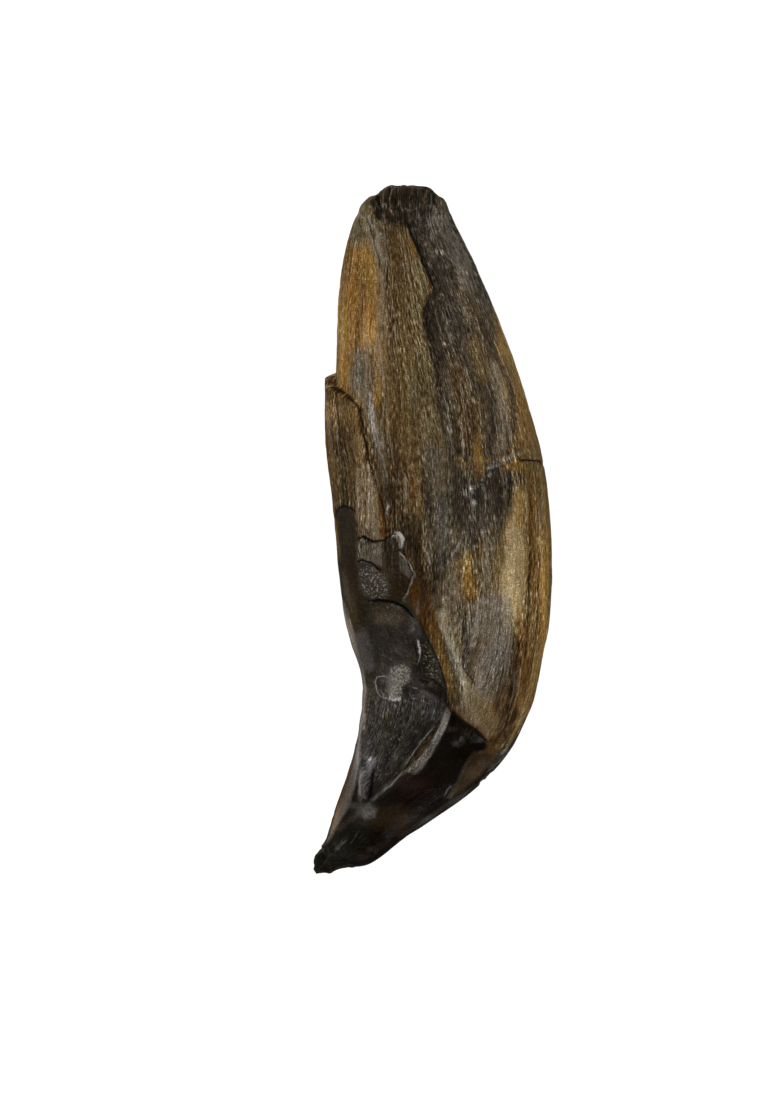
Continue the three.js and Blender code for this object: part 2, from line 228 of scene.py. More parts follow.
class Skin:
    """The surface as flat arrays: ring by ring from the root end, each from the left edge over the top."""

    def __init__(self):
        sections = np.array(SECTIONS)
        left, right = sections[:, 0:2], sections[:, 2:4]
        under, top = sections[:, 4], sections[:, 5]
        middle = np.column_stack([(left + right) / 2, (under + top) / 2])
        fine = np.linspace(0, 1, 4001)
        run = np.linalg.norm(np.diff(rail(middle, fine), axis=0), axis=1)
        lengths = np.concatenate([[0.0], np.cumsum(run)])
        even = np.linspace(0, 1, RINGS + 1)
        wanted = mix(even, (1 - np.cos(np.pi * even)) / 2, END_CROWDING) * lengths[-1]
        shares = np.interp(wanted, lengths, fine)
        over = np.arange(UPPER_STEPS) / UPPER_STEPS
        over = over + TOP_CROWDING * np.sin(2 * np.pi * over)
        turn = np.concatenate([over, 1 + np.arange(UNDER_STEPS) / UNDER_STEPS]) * np.pi
        across, rise = boxy(-np.cos(turn)), boxy(np.sin(turn))
        lefts, rights, mids = (spread(rail(points, shares)) for points in (left, right, middle))
        heights = spread(rail(np.column_stack([np.arange(len(top)), (top - under) / 2]), shares)[:, 1])
        self.across, self.rise = np.tile(across, RINGS + 1), np.tile(rise, RINGS + 1)
        self.along = spread(wanted)
        half = (rights - lefts) / 2
        chord = np.linalg.norm(half, axis=1)
        plain = (lefts + rights) / 2 + half * self.across[:, None]
        self.plain = np.column_stack([plain, mids[:, 2] + heights * self.rise])
        self.outward = self.facing_out(self.plain.reshape(-1, RING_STEPS, 3))
        depth = EYE_MM[2] - self.plain[:, 2]
        self.u = VIEW_WIDTH / 2 + (self.plain[:, 0] - EYE_MM[0]) * POINTS_PER_TURN / depth
        self.v = VIEW_HEIGHT / 2 - (self.plain[:, 1] - EYE_MM[1]) * POINTS_PER_TURN / depth
        below = smooth(0.22, -0.4, self.rise)
        self.u = self.u + 4.0 * below * self.mottle(2.5, 7, 2)
        self.v = self.v + below * (12.0 * self.mottle(1.6, 8, 2) + 4.0 * self.mottle(0.4, 6, 1))
        self.upper = smooth(-0.75, -0.2, self.rise + 0.3 * self.mottle(2.6, 9))
        self.grain = self.fibre_place(self.round_the_ring(across, rise, chord[::RING_STEPS]))
        self.raised = np.zeros(len(self.u))
        self.colour = np.zeros((len(self.u), 3))
        self.gloss = np.zeros(len(self.u))
        self.fibre = np.ones(len(self.u))
        self.chalk = np.zeros(len(self.u))
        self.frayed = self.streaks(0.3, 3, 90)
        self.dark_lines = np.zeros((len(self.u), 3))
        self.pale_lines = np.zeros((len(self.u), 3))

    def facing_out(self, grid):
        """Which way the plain surface faces at each vertex."""
        onward = np.gradient(grid, axis=0)
        round_it = np.roll(grid, -1, axis=1) - np.roll(grid, 1, axis=1)
        facing = np.cross(onward, round_it)
        facing[0], facing[-1] = -onward[0].mean(0), onward[-1].mean(0)
        facing /= np.maximum(np.linalg.norm(facing, axis=2), 1e-9)[:, :, None]
        middle, top = len(grid) // 2, UPPER_STEPS // 2
        facing[1:-1] *= np.sign(facing[middle, top, 2])
        return facing.reshape(-1, 3)

    def round_the_ring(self, across, rise, widths):
        """How far each vertex is round its ring from the top, on a middling ring, or less near the ends."""
        steps = np.hypot(9.0 * np.diff(across, append=across[0]), 5.5 * np.diff(rise, append=rise[0]))
        round_it = np.cumsum(steps) - steps
        far_left = (rise < 0) & (across < GROOVE_ACROSS)
        round_it = np.where(far_left, round_it - steps.sum(), round_it) - round_it[UPPER_STEPS // 2]
        rings = self.along[:: len(across)]
        ends = np.minimum(rings, rings[-1] - rings)
        root_width, tip_width = np.interp([3.0, rings[-1] - 3.0], rings, widths)
        limit = np.where(rings < rings[-1] / 2, root_width, tip_width)
        narrowing = np.where(ends < 3.0, np.minimum(widths / limit, 1.0), 1.0)
        return (narrowing[:, None] * round_it).ravel()

    def fibre_place(self, side):
        """Where each point lies across and along the tooth's fibres, in millimetres, leaning as they grew."""
        for (u, v), (wide, long), lean in FIBRE_LEANS:
            past = (self.v - v) / long
            run = long * (1 + np.tanh(1.2 * past)) / (1 + np.maximum(past - 2, 0) ** 2 / 16)
            near = np.exp(-(((self.u - u) / wide) ** 2)) * self.upper
            side = side + math.tan(math.radians(lean)) * MM_ACROSS_PER_POINT * run * near
        wander = 0.35 * value_noise(self.along * 0.16, side * 0.1, 5)
        wander = wander + 0.1 * value_noise(self.along * 0.6, side * 0.5, 6)
        return np.column_stack([side + wander, self.along, np.zeros(len(side))])

    def streaks(self, across, along, seed, layers=3):
        """Fibrous noise, its streaks about `across` wide and `along` long, in millimetres."""
        side = self.grain[:, 0] / across + self.grain[:, 2]
        return layered_noise(side, self.grain[:, 1] / along, seed, layers)

    def mottle(self, size, seed, layers=3):
        """Blotchy noise with blotches about `size` millimetres across."""
        x, y, z = self.plain.T / size
        return layered_noise(x + 0.37 * z, y + 0.61 * z, seed, layers)

    def beside(self, line, reach):
        """How far each vertex is off a line, positive on the right going along it, and its share along it."""
        line = np.asarray(line, float)
        low, high = line.min(0) - reach, line.max(0) + reach
        near = np.flatnonzero((self.u > low[0]) & (self.u < high[0]) & (self.v > low[1]) & (self.v < high[1]))
        off, share = np.full(len(self.u), 1e3), np.zeros(len(self.u))
        u, v = self.u[near], self.v[near]
        best, found = np.full(len(near), 1e3), np.zeros(len(near))
        for i in range(len(line) - 1):
            (au, av), (du, dv) = line[i], line[i + 1] - line[i]
            at = np.clip(((u - au) * du + (v - av) * dv) / (du * du + dv * dv), 0, 1)
            gap = np.hypot(u - au - du * at, v - av - dv * at)
            closer = gap < np.abs(best)
            sign = np.where((v - av) * du - (u - au) * dv >= 0, 1.0, -1.0)
            best = np.where(closer, gap * sign, best)
            found = np.where(closer, (i + at) / (len(line) - 1), found)
        off[near], share[near] = best, found
        return off, share

    def inside(self, outline, reach=12.0):
        """How deep each vertex lies inside an outline, in view points, and negative outside it."""
        off, _ = self.beside(list(outline) + [outline[0]], reach)
        crossings = np.zeros(len(self.u), bool)
        for (au, av), (bu, bv) in zip(outline, list(outline[1:]) + [outline[0]]):
            if av == bv:
                continue
            spans = (av > self.v) != (bv > self.v)
            crossings ^= spans & (self.u < au + (self.v - av) * (bu - au) / (bv - av))
        deep = np.minimum(np.abs(off), 1e3)
        return np.where(crossings, deep, -deep)

    def patch(self, outline, soft=4.0, ragged=0.0, seed=1, grain=(0.25, 3.0)):
        """A mask inside an outline, whose border is soft, and frayed along the fibres where it is ragged."""
        deep = self.inside(outline, soft + ragged + 12)
        if ragged:
            deep = deep + ragged * self.streaks(*grain, seed)
        return smooth(-soft / 2, soft / 2, deep) * self.upper

    def stroke(self, line, width, soft=2.0, ragged=0.0, seed=1, grain=(0.25, 3.0), taper=0.0):
        """A mask along a line, `width` view points wide, that may taper towards both its ends."""
        off, share = self.beside(line, width + soft + ragged + 12)
        gap = np.abs(off)
        if ragged:
            gap = gap + ragged * self.streaks(*grain, seed)
        ends = 1.0 - taper + taper * np.sin(np.pi * np.clip(share, 0, 1)) if taper else 1.0
        return (1 - smooth(width / 2 * ends - soft / 2, width / 2 * ends + soft / 2, gap)) * self.upper

    def spot(self, place, reach):
        """A soft round mask about a view point."""
        return np.exp(-(((self.u - place[0]) / reach) ** 2) - ((self.v - place[1]) / reach) ** 2) * self.upper

    def trace(self, lines, line, width, strength=1.0, wander=0.0, seed=1, taper=0.12):
        """Adds a crisp line to the dark or pale lines: the distance off it, its width and its strength."""
        off, share = self.beside(line, 9)
        if wander:
            off = off + wander * (self.mottle(0.5, seed, 2) + 0.8 * self.mottle(1.6, seed + 50, 1))
        gap = np.abs(off)
        power = strength * smooth(0, taper, share) * smooth(1, 1 - taper, share) * smooth(3.6, 2.6, gap)
        power = power * smooth(0.0, 0.18, self.rise)
        before = np.where(lines[:, 2] > 0, np.abs(lines[:, 0]), 99.0)
        closer = (power > 0) & (gap < before)
        lines[closer] = np.column_stack([off, np.full(len(off), width), power])[closer]

    def stain(self, mask, colour, strength=1.0):
        self.colour = mix(self.colour, linear(colour), np.clip(mask * strength, 0, 1)[:, None])

    def fill(self, colour, strength, *outline):
        """Stains a patch, given as for `patch`."""
        self.stain(self.patch(*outline), colour, strength)

    def draw(self, colour, strength, *line):
        """Stains a stroke, given as for `stroke`."""
        self.stain(self.stroke(*line), colour, strength)

    def dab(self, colour, strength, *spot):
        """Stains a round spot, given as for `spot`."""
        self.stain(self.spot(*spot), colour, strength)

    def lift(self, height):
        self.raised = self.raised + height

    def swell(self, height, *outline):
        """Lifts a patch, given as for `patch`."""
        self.lift(height * self.patch(*outline))

    def ridge(self, height, *line):
        """Lifts a stroke, given as for `stroke`."""
        self.lift(height * self.stroke(*line))


# Places where the fibres lean: view point, reach in u and v, and degrees, positive down to the left.
FIBRE_LEANS = [
    ((382, 240), (30, 26), -8),
    ((422, 262), (26, 40), -4),
    ((460, 285), (34, 50), -7),
    ((392, 400), (20, 16), 5),
    ((432, 424), (24, 24), -5),
    ((432, 500), (26, 24), -5),
    ((451, 548), (18, 20), 8),
    ((488, 540), (20, 30), -8),
    ((424, 598), (14, 18), 7),
    ((472, 650), (20, 22), 9),
    ((498, 675), (18, 20), 5),
    ((462, 700), (14, 18), -20),
    ((384, 705), (18, 16), 9),
]


# ---------------------------------------- relief


def shape_outer_layer(skin):
    """The layer that still covers the left edge: thick at the edge, with a broken ledge on the upper side."""
    cover = np.interp(skin.v, [372.5, 376, 440, 487, 523, 569, 600], [0, 1, 1, 0.52, 0.28, 0.12, 0])
    off, _ = skin.beside(LAYER_EDGE, 200)
    ledge = smooth(-1.8, 2.6, off)
    thickness = mix(0.95, 0.36, smooth(-1, -0.75, skin.across))
    over = thickness * cover * ledge
    under = 0.95 * cover * (1 - smooth(-0.8, -0.35, skin.across))
    left = skin.across < 0.3
    skin.lift(np.where(skin.rise < 0, under, over) * left)
    lip = skin.stroke(LAYER_EDGE[2:11], 7, 4) * smooth(0, 1.5, off)
    skin.lift(0.07 * lip * cover)
    gully = skin.stroke(LAYER_EDGE[3:12], 2.4, 3) * smooth(-4.0, -0.6, off) * (off < 1.0)
    skin.lift(-0.05 * gully)


def shape_root_step(skin):
    """The step down where the root's middle layer ends."""
    off, share = skin.beside(ROOT_STEP, 90)
    run = smooth(0, 0.12, share) * (1 - smooth(0.62, 1, share))
    drop = smooth(-0.6, 2.6, -off) * (1 - smooth(8, 58, -off))
    skin.lift(-0.38 * run * drop * skin.upper)
    skin.lift(0.06 * skin.stroke(ROOT_STEP[:14], 8, 6) * smooth(0, 2, off))


def shape_neck(skin):
    """The root stands proud of the crown along the neck crease."""
    off, share = skin.beside(NECK, 90)
    run = smooth(0, 0.15, share) * (1 - smooth(0.72, 0.88, share))
    skin.lift(0.45 * run * smooth(-2, 3.5, -off) * (1 - smooth(12, 70, -off)) * skin.upper)


def shape_crown(skin):
    """The bared dentine below its enamel lip, the rim's crest and slit, the window and the facet."""
    deep = skin.inside(BARED_DENTINE, 40)
    skin.lift(-0.5 * smooth(-1.5, 4.5, deep) * skin.upper)
    skin.swell(-0.4, [(455, 716), (482, 745), (462, 772), (437, 776), (440, 752)], 20)
    skin.ridge(0.1, ENAMEL_EDGE, 6, 4)
    skin.swell(-0.08, [(431, 733), (426, 748), (417, 759), (406, 767), (411, 757), (420, 744)], 4)
    skin.ridge(0.1, WINDOW_EDGE, 2.4, 2.4)
    crest, share = skin.beside(RIM_CREST, 30)
    skin.lift(0.42 * np.exp(-((crest / 6.5) ** 2)) * np.sin(np.pi * np.clip(share, 0.05, 0.95)) * skin.upper)
    skin.ridge(-0.12, RIM_SLIT, 2.2, 2.4)
    skin.swell(0.16, [(368, 762), (372, 775), (371, 800), (363, 800), (362, 780)], 4)
    skin.swell(0.14, [(359, 809), (367, 803), (376, 808), (375, 817), (363, 819)], 6)
    skin.swell(-0.2, FACET, 5)
    skin.ridge(0.1, FACET_RIDGE, 4, 3)
    skin.ridge(-0.3, EDGE_CRACK, 2.2, 2.4)
    skin.swell(-0.25, [(419, 681), (431, 679), (446, 689), (447, 700), (436, 696)], 4)
    skin.swell(0.12, [(417, 692), (436, 698), (446, 706), (443, 724), (419, 722)], 5)


def shape_flakes(skin):
    """The flake left on the neck, its chalky broken edges, and the small arcs below it."""
    deep = skin.inside(NECK_FLAKE, 20) + 0.8 * skin.mottle(0.7, 71)
    skin.lift(0.26 * smooth(-0.8, 2.2, deep) * skin.upper)
    skin.ridge(-0.16, [(u, v - 1) for u, v in LOWER_ARC], 3, 3)
    skin.ridge(-0.1, FLAKE_ARC, 2.4, 2.4)
    worn = skin.patch(WORN_FLAKE, 4)
    skin.lift(-0.1 * worn + 0.06 * worn * skin.mottle(0.28, 72, 2))
    skin.ridge(0.07, RING_MARK, 2.4, 2)
    skin.lift(0.05 * skin.patch(SPECKLED_PATCH, 5) * (1 + skin.mottle(0.3, 73, 2)))


def shape_root_surface(skin):
    """Ribs, grooves, pits and chips of the fibrous root, and its rough broken end."""
    root = smooth(-25, 10, crown_line_gap(skin))
    ribs = 0.05 * skin.streaks(0.75, 9, 11) + 0.035 * skin.streaks(0.32, 5, 12)
    ribs = ribs + 0.018 * skin.streaks(0.17, 2.6, 13)
    skin.lift(ribs * mix(0.25, 1.0, root))
    skin.lift(0.05 * skin.mottle(2.2, 14) + 0.03 * skin.mottle(0.8, 15) * root)
    furrow = smooth(0.35, 0.7, skin.streaks(0.4, 7, 16)) * root
    skin.lift(-0.09 * furrow)
    end = smooth(232, 196, skin.v)
    skin.lift(end * (0.07 * skin.mottle(1.7, 17) + 0.08 * skin.mottle(0.7, 18)))
    for knob in ((390, 187), (424, 187), (369, 199)):
        skin.lift(0.1 * skin.spot(knob, 6))
    for dip in ((377, 193), (437, 194), (357, 211), (450, 207)):
        skin.lift(-0.16 * skin.spot(dip, 6))
    cap = [(379, 190), (404, 183), (431, 188), (432, 206), (412, 212), (396, 216), (382, 216)]
    skin.swell(0.14, cap, 6, 2.0, 19)
    skin.swell(-0.2, [(372, 197), (379, 193), (380, 205), (382, 217), (376, 219), (374, 207)], 4)
    skin.ridge(0.1, [(367, 210), (369, 222), (371, 232)], 7, 5)
    chips = skin.stroke(CHIP_LINE, 5, 3, 3.0, 20, (0.3, 0.4))
    skin.lift(-0.12 * chips + 0.2 * chips * smooth(0.1, 0.5, skin.mottle(0.35, 21, 2)))
    off, share = skin.beside(CHIP_LINE, 60)
    skin.lift(-0.16 * np.sin(np.pi * share) * smooth(-2, 4, off) * (1 - smooth(9, 34, off)) * skin.upper)
    skin.ridge(-0.16, RIGHT_CRACK[:4], 2.0, 2.4, 0.6, 22)
    skin.lift(0.16 * skin.stroke([(405, 471), (406, 485), (405.5, 501)], 3, 2.4, 0.6, 23, taper=0.7))
    skin.lift(0.15 * skin.stroke([(424, 544), (427, 552), (430, 565)], 4, 3, 0.8, 24, taper=0.7))
    skin.ridge(-0.13, [(530, 480), (531, 560), (529, 640), (522, 700)], 5, 5, 1.5, 25)


def past_neck(skin):
    """How far each vertex lies beyond the neck on the side the tooth lies on, in millimetres."""
    return -skin.plain[:, 1] - 0.35 * skin.plain[:, 0] - 9.5


def shape_far_side(skin):
    """The side the tooth lies on: a long groove down the root, and the crown's unbroken enamel edge."""
    under = smooth(0.05, 0.4, -skin.rise)
    past = past_neck(skin) + 0.25 * skin.mottle(1.6, 31)
    skin.lift(0.25 * smooth(-0.15, 0.2, past) * under)
    run = smooth(-5, 4, skin.plain[:, 1]) * (1 - smooth(19, 27, skin.plain[:, 1]))
    skin.lift(-0.4 * np.exp(-(((skin.across - GROOVE_ACROSS) / 0.14) ** 2)) * run * under)


def shape_tip(skin):
    """The chipped tip: small conchoidal bites and a sharp little spur."""
    near = smooth(16.6, 18.8, -skin.plain[:, 0] - 0.3 * skin.plain[:, 1])
    skin.lift(near * (0.22 * skin.mottle(1.1, 41) + 0.12 * skin.mottle(0.45, 42)))
    skin.swell(-0.25, [(316, 850), (327, 846), (333, 853), (322, 860)], 5)
    skin.swell(-0.2, [(330, 862), (343, 860), (352, 868), (338, 876)], 5)
    left_bite = [(304, 862), (313, 862), (315, 869), (304, 871)]
    end_bite = [(319, 872), (332, 870), (334, 884), (321, 884)]
    for bite in (left_bite, end_bite):
        skin.swell(-0.55, bite, 4)
    skin.swell(0.3, [(306, 846), (318, 844), (320, 858), (308, 860)], 8)


def crown_line_gap(skin):
    """How far each vertex lies on the root's side of the neck, in view points: negative on the crown."""
    line = [(300, 548), (357, 556), (380, 575)] + NECK[:-2] + [(505, 752), (545, 735), (600, 700)]
    off, _ = skin.beside(line, 900)
    return -off


def shape(skin):
    for step in (shape_outer_layer, shape_root_step, shape_neck, shape_crown, shape_flakes,
                 shape_root_surface, shape_far_side, shape_tip):
        step(skin)


# ---------------------------------------- stains, and painted light and shade: the pigments, from dark to pale, in sRGB

PITCH = (12, 10, 7)
JET = (16, 15, 15)
ENAMEL = (19, 15, 11)
SCORCH = (22, 18, 12)
EMBER = (30, 17, 12)
DARK_PEAT = (34, 18, 9)
DARK_ENAMEL = (24, 23, 17)
CREVICE_AND_SHADOW = (30, 26, 16)
SOOT = (31, 26, 20)
TREACLE = (42, 28, 8)
BOG_OAK = (38, 34, 24)
PEAT = (42, 31, 19)
IRONSTONE = (40, 36, 33)
CHARCOAL = (44, 35, 25)
SMOKE = (47, 41, 31)
RUST = (68, 42, 18)
MOSS = (58, 44, 21)
DAMP_MOSS = (56, 42, 26)
PLUM = (54, 46, 38)
WALNUT = (62, 50, 34)
SLATE = (58, 52, 44)
COCOA = (72, 54, 30)
LEAF_MOULD = (66, 56, 44)
UMBER = (70, 55, 34)
DARK_BLOOM_AND_SHEEN = (60, 57, 54)
TOFFEE = (80, 55, 22)
LOAM = (78, 61, 38)
DUN = (72, 63, 50)
TEAK = (84, 62, 32)
PALE_ASH = (72, 68, 65)
COPPER = (100, 62, 20)
DRAB = (80, 70, 55)
OLIVE = (88, 70, 42)
ASH = (78, 72, 64)
TAWNY = (98, 72, 40)
STONE = (86, 78, 68)
PEWTER = (84, 80, 77)
CARAMEL = (114, 74, 22)
BRONZE = (98, 78, 46)
WICKER = (98, 80, 50)
GLINT = (80, 83, 86)
LICHEN = (96, 84, 58)
GINGER = (110, 82, 38)
LILAC_GREY = (96, 88, 82)
FAWN = (100, 89, 73)
OCHRE = (118, 86, 40)
HAZEL = (110, 88, 56)
MAUVE_TAN = (108, 92, 74)
REED = (112, 92, 64)
LILAC = (106, 96, 84)
RUSSET = (138, 90, 38)
BRASS = (124, 98, 55)
AMBER = (130, 98, 48)
BISCUIT = (120, 102, 76)
DUSK = (118, 108, 92)
DEEP_HONEY = (136, 106, 56)
PUTTY = (116, 110, 100)
SAND = (122, 109, 84)
PALE_LILAC = (122, 117, 110)
OAT = (134, 117, 94)
FLINT = (128, 119, 107)
TAN = (142, 119, 80)
HONEY = (150, 118, 68)
STRAW = (150, 124, 74)
BUFF = (146, 127, 94)
PEACH = (164, 130, 84)
PEARL = (146, 136, 126)
BONE = (156, 140, 106)
PALE_CHIP = (150, 146, 138)
CHALK = (188, 184, 176)


def stain_upper_root(skin):
    """The whole root to begin with, then its upper half from the left edge to the right."""
    skin.stain(np.ones(len(skin.u)), OLIVE)
    skin.stain(smooth(-0.3, 0.6, skin.streaks(0.7, 9, 101)), UMBER, 0.5)
    skin.fill(AMBER, 0.95, [(328, 226), (352, 226), (370, 232), (376, 262), (380, 300), (380, 350),
        (384, 392), (372, 410), (350, 398), (328, 400)], 6, 7, 102)
    skin.draw(DEEP_HONEY, 0.9, [(343, 262), (340, 300), (339, 340), (337, 385)], 8, 5, 3, 103)
    skin.draw(HONEY, 0.6, [(371, 262), (373, 290), (372, 330), (374, 370), (376, 392)], 6, 5, 5, 104)
    skin.draw(HONEY, 0.9, [(366, 320), (365, 340), (366, 358)], 8, 8, 4, 105)
    skin.draw(PEACH, 0.8, [(366, 334), (365, 344)], 4, 6, 2, 105)
    amber_side = [(326, 236), (352, 230), (372, 240), (378, 300), (378, 380), (350, 398), (326, 398)]
    amber = skin.patch(amber_side, 8)
    skin.stain(amber * smooth(0.0, 0.5, skin.streaks(0.45, 4, 274)), RUSSET, 0.65)
    skin.stain(amber * smooth(0.1, 0.55, skin.streaks(0.4, 5, 275)), TAWNY, 0.65)
    skin.stain(amber * smooth(0.25, 0.6, skin.streaks(0.28, 5, 276)), OAT, 0.6)
    skin.draw(TAWNY, 0.8, [(355, 310), (355, 335), (356, 370)], 7, 5, 5, 106)
    skin.fill(FAWN, 0.7, [(350, 350), (374, 340), (378, 384), (366, 404), (352, 396)], 8, 6, 277)
    skin.draw(TEAK, 0.75, [(351, 236), (349, 262), (346, 276)], 9, 7, 6, 107)
    skin.draw(BRONZE, 0.5, [(358, 262), (356, 285)], 7, 7, 4, 118)
    skin.draw(LICHEN, 0.95, [(357, 196), (358, 214), (355, 236)], 18, 10, 5, 108)
    skin.draw(SAND, 0.7, [(352, 212), (350, 234)], 4, 4, 3, 119)
    band = [(369, 222), (373, 240), (380, 262), (384, 290), (380, 318), (379, 345), (383, 385)]
    skin.draw(BISCUIT, 0.8, band, 9, 5, 7, 109)
    lilac_end = [(366, 216), (376, 218), (386, 240), (388, 268), (382, 276), (376, 256), (368, 238)]
    skin.stain(skin.patch(lilac_end, 6, 5, 138) * smooth(-0.5, 0.3, skin.mottle(0.6, 139, 2)), DUSK, 0.75)
    skin.draw(FAWN, 0.9, [(366, 400), (374, 420), (380, 446), (386, 480)], 9, 5, 5, 110)
    middle = [(388, 224), (408, 222), (416, 250), (428, 278), (428, 290), (421, 310), (424, 340),
        (431, 362), (436, 420), (432, 470), (424, 540), (396, 540), (392, 470), (390, 400), (387, 340),
        (390, 290)]
    skin.fill(OLIVE, 0.9, middle, 6, 7, 111)
    skin.draw(GINGER, 0.9, [(408, 232), (413, 244), (416, 256)], 7, 6, 3, 112)
    skin.draw(TEAK, 0.7, [(394, 236), (394, 262), (390, 296)], 11, 8, 6, 113)
    skin.draw(LICHEN, 0.85, [(414, 262), (424, 282), (418, 298), (414, 312)], 10, 9, 5, 114)
    skin.draw(LICHEN, 0.8, [(421, 318), (424, 350), (427, 385), (430, 425)], 10, 8, 6, 115)
    skin.draw(WICKER, 0.6, [(402, 320), (403, 370), (405, 420)], 12, 9, 7, 116)
    skin.draw(LOAM, 0.6, [(391, 330), (394, 380), (396, 430)], 6, 7, 5, 117)
    skin.draw(TEAK, 0.6, [(400, 425), (398, 450), (396, 470)], 10, 8, 6, 120)


def stain_dark_root(skin):
    """The lower, darker side of the root step, with a painted shadow line along the step."""
    dark = [(404, 190), (431, 190), (447, 210), (466, 244), (480, 276), (494, 312), (506, 350), (514, 385),
        (520, 420), (505, 450), (470, 458), (445, 448), (438, 400), (433, 360), (424, 326), (425, 300),
        (435, 286), (424, 262), (414, 238)]
    skin.fill(LEAF_MOULD, 1.0, dark, 5, 3, 121)
    skin.fill(SLATE, 0.9, [(410, 196), (428, 200), (444, 222), (458, 250), (470, 278), (452, 284),
        (436, 270), (422, 240), (408, 220)], 8, 6, 122)
    skin.draw(ASH, 0.9, [(442, 212), (454, 240), (468, 268), (482, 300)], 18, 10, 8, 123)
    skin.draw(LILAC_GREY, 0.6, [(447, 226), (456, 246), (466, 270)], 5, 6, 6, 124)
    near_step = [(404, 214), (414, 238), (422, 262), (435, 287), (427, 300), (424, 322), (428, 345),
        (434, 367), (452, 352), (468, 330), (466, 306), (450, 290), (436, 262), (424, 236), (414, 214)]
    skin.fill(PLUM, 0.9, near_step, 7, 4, 125)
    skin.draw(CHARCOAL, 0.85, [(429, 308), (433, 335), (438, 356)], 10, 8, 4, 126)
    # painted shadow: a dark line along the root's step
    skin.draw(CREVICE_AND_SHADOW, 0.9, [(407, 219), (413, 236), (420, 256), (432, 280)], 4, 3, 1, 127)
    skin.draw(LEAF_MOULD, 0.8, [(466, 300), (482, 330), (494, 362), (500, 392)], 20, 12, 8, 128)
    skin.draw(WICKER, 0.8, [(474, 340), (479, 356), (484, 374)], 15, 9, 6, 129)
    skin.draw(LOAM, 0.75, [(456, 372), (462, 400), (468, 440)], 20, 12, 8, 130)
    skin.draw(BRONZE, 0.75, [(477, 402), (477, 425), (478, 450)], 10, 9, 4, 131)
    skin.draw(GINGER, 0.8, [(477, 436), (478, 450), (479, 466)], 8, 8, 4, 132)
    skin.draw(CHARCOAL, 0.8, [(493, 396), (493, 425), (491, 452)], 3.5, 3, 2, 137)
    skin.draw(WALNUT, 0.6, [(474, 402), (475, 440)], 3, 3, 2, 135)
    skin.draw(FAWN, 0.9, [(494, 366), (502, 396), (505, 424), (503, 446)], 13, 8, 5, 133)
    skin.draw(DRAB, 0.7, [(446, 380), (448, 420), (452, 460)], 10, 8, 7, 134)
    skin.draw(DAMP_MOSS, 0.6, [(436, 372), (440, 400), (444, 430)], 5, 4, 4, 136)


def stain_right_edge(skin):
    """The banded strip down the root's right edge, amber above and darker towards the neck, with a painted
    highlight streak along its upper part.
    """
    edge = [(490, 300), (505, 332), (518, 372), (532, 412), (544, 455), (558, 520), (562, 600), (558, 660),
        (540, 714), (518, 742), (508, 745), (514, 700), (525, 640), (529, 580), (528, 520), (524, 470),
        (514, 430), (507, 390), (500, 345)]
    begun = smooth(296, 326, skin.v + 40 * skin.streaks(0.4, 6, 153))
    skin.stain(skin.patch(edge, 6, 6, 141) * begun, BRASS, 1.0)
    # painted highlight: a pale streak along the upper right edge
    skin.stain(skin.stroke([(497, 312), (507, 336), (521, 376), (536, 420), (543, 450)],
        6, 5, 2, 142) * begun, STRAW, 0.85)
    skin.draw(HAZEL, 0.8, [(510, 372), (519, 405), (527, 440)], 11, 8, 6, 143)
    skin.draw(DUN, 0.8, [(505, 356), (512, 392), (514, 430)], 6, 5, 4, 144)
    skin.draw(TOFFEE, 0.85, [(531, 485), (532, 560), (530, 620), (523, 680), (510, 722)], 4, 4, 3, 145)
    skin.draw(BRONZE, 0.8, [(533, 466), (537, 490), (539, 560)], 12, 8, 4, 146)
    skin.fill(REED, 0.85, [(538, 494), (543, 496), (545.5, 510), (543, 528), (538, 532), (535, 518)], 2.5)
    skin.draw(DEEP_HONEY, 0.9, [(548, 500), (550, 560), (548, 600), (545, 640), (534, 690)], 6, 5, 3, 147)
    skin.draw(TEAK, 0.8, [(538, 560), (538, 610), (533, 655), (524, 694)], 7, 5, 4, 148)
    skin.draw(OCHRE, 0.8, [(522, 590), (521, 630), (516, 668)], 7, 6, 4, 149)
    skin.draw(DAMP_MOSS, 0.9, [(519, 640), (515, 672), (506, 706)], 8, 6, 4, 150)
    skin.draw(HAZEL, 0.7, [(526, 660), (519, 696), (510, 718)], 3, 3, 2, 151)
    skin.draw(WALNUT, 0.8, [(514, 712), (507, 730), (500, 742)], 9, 6, 4, 152)


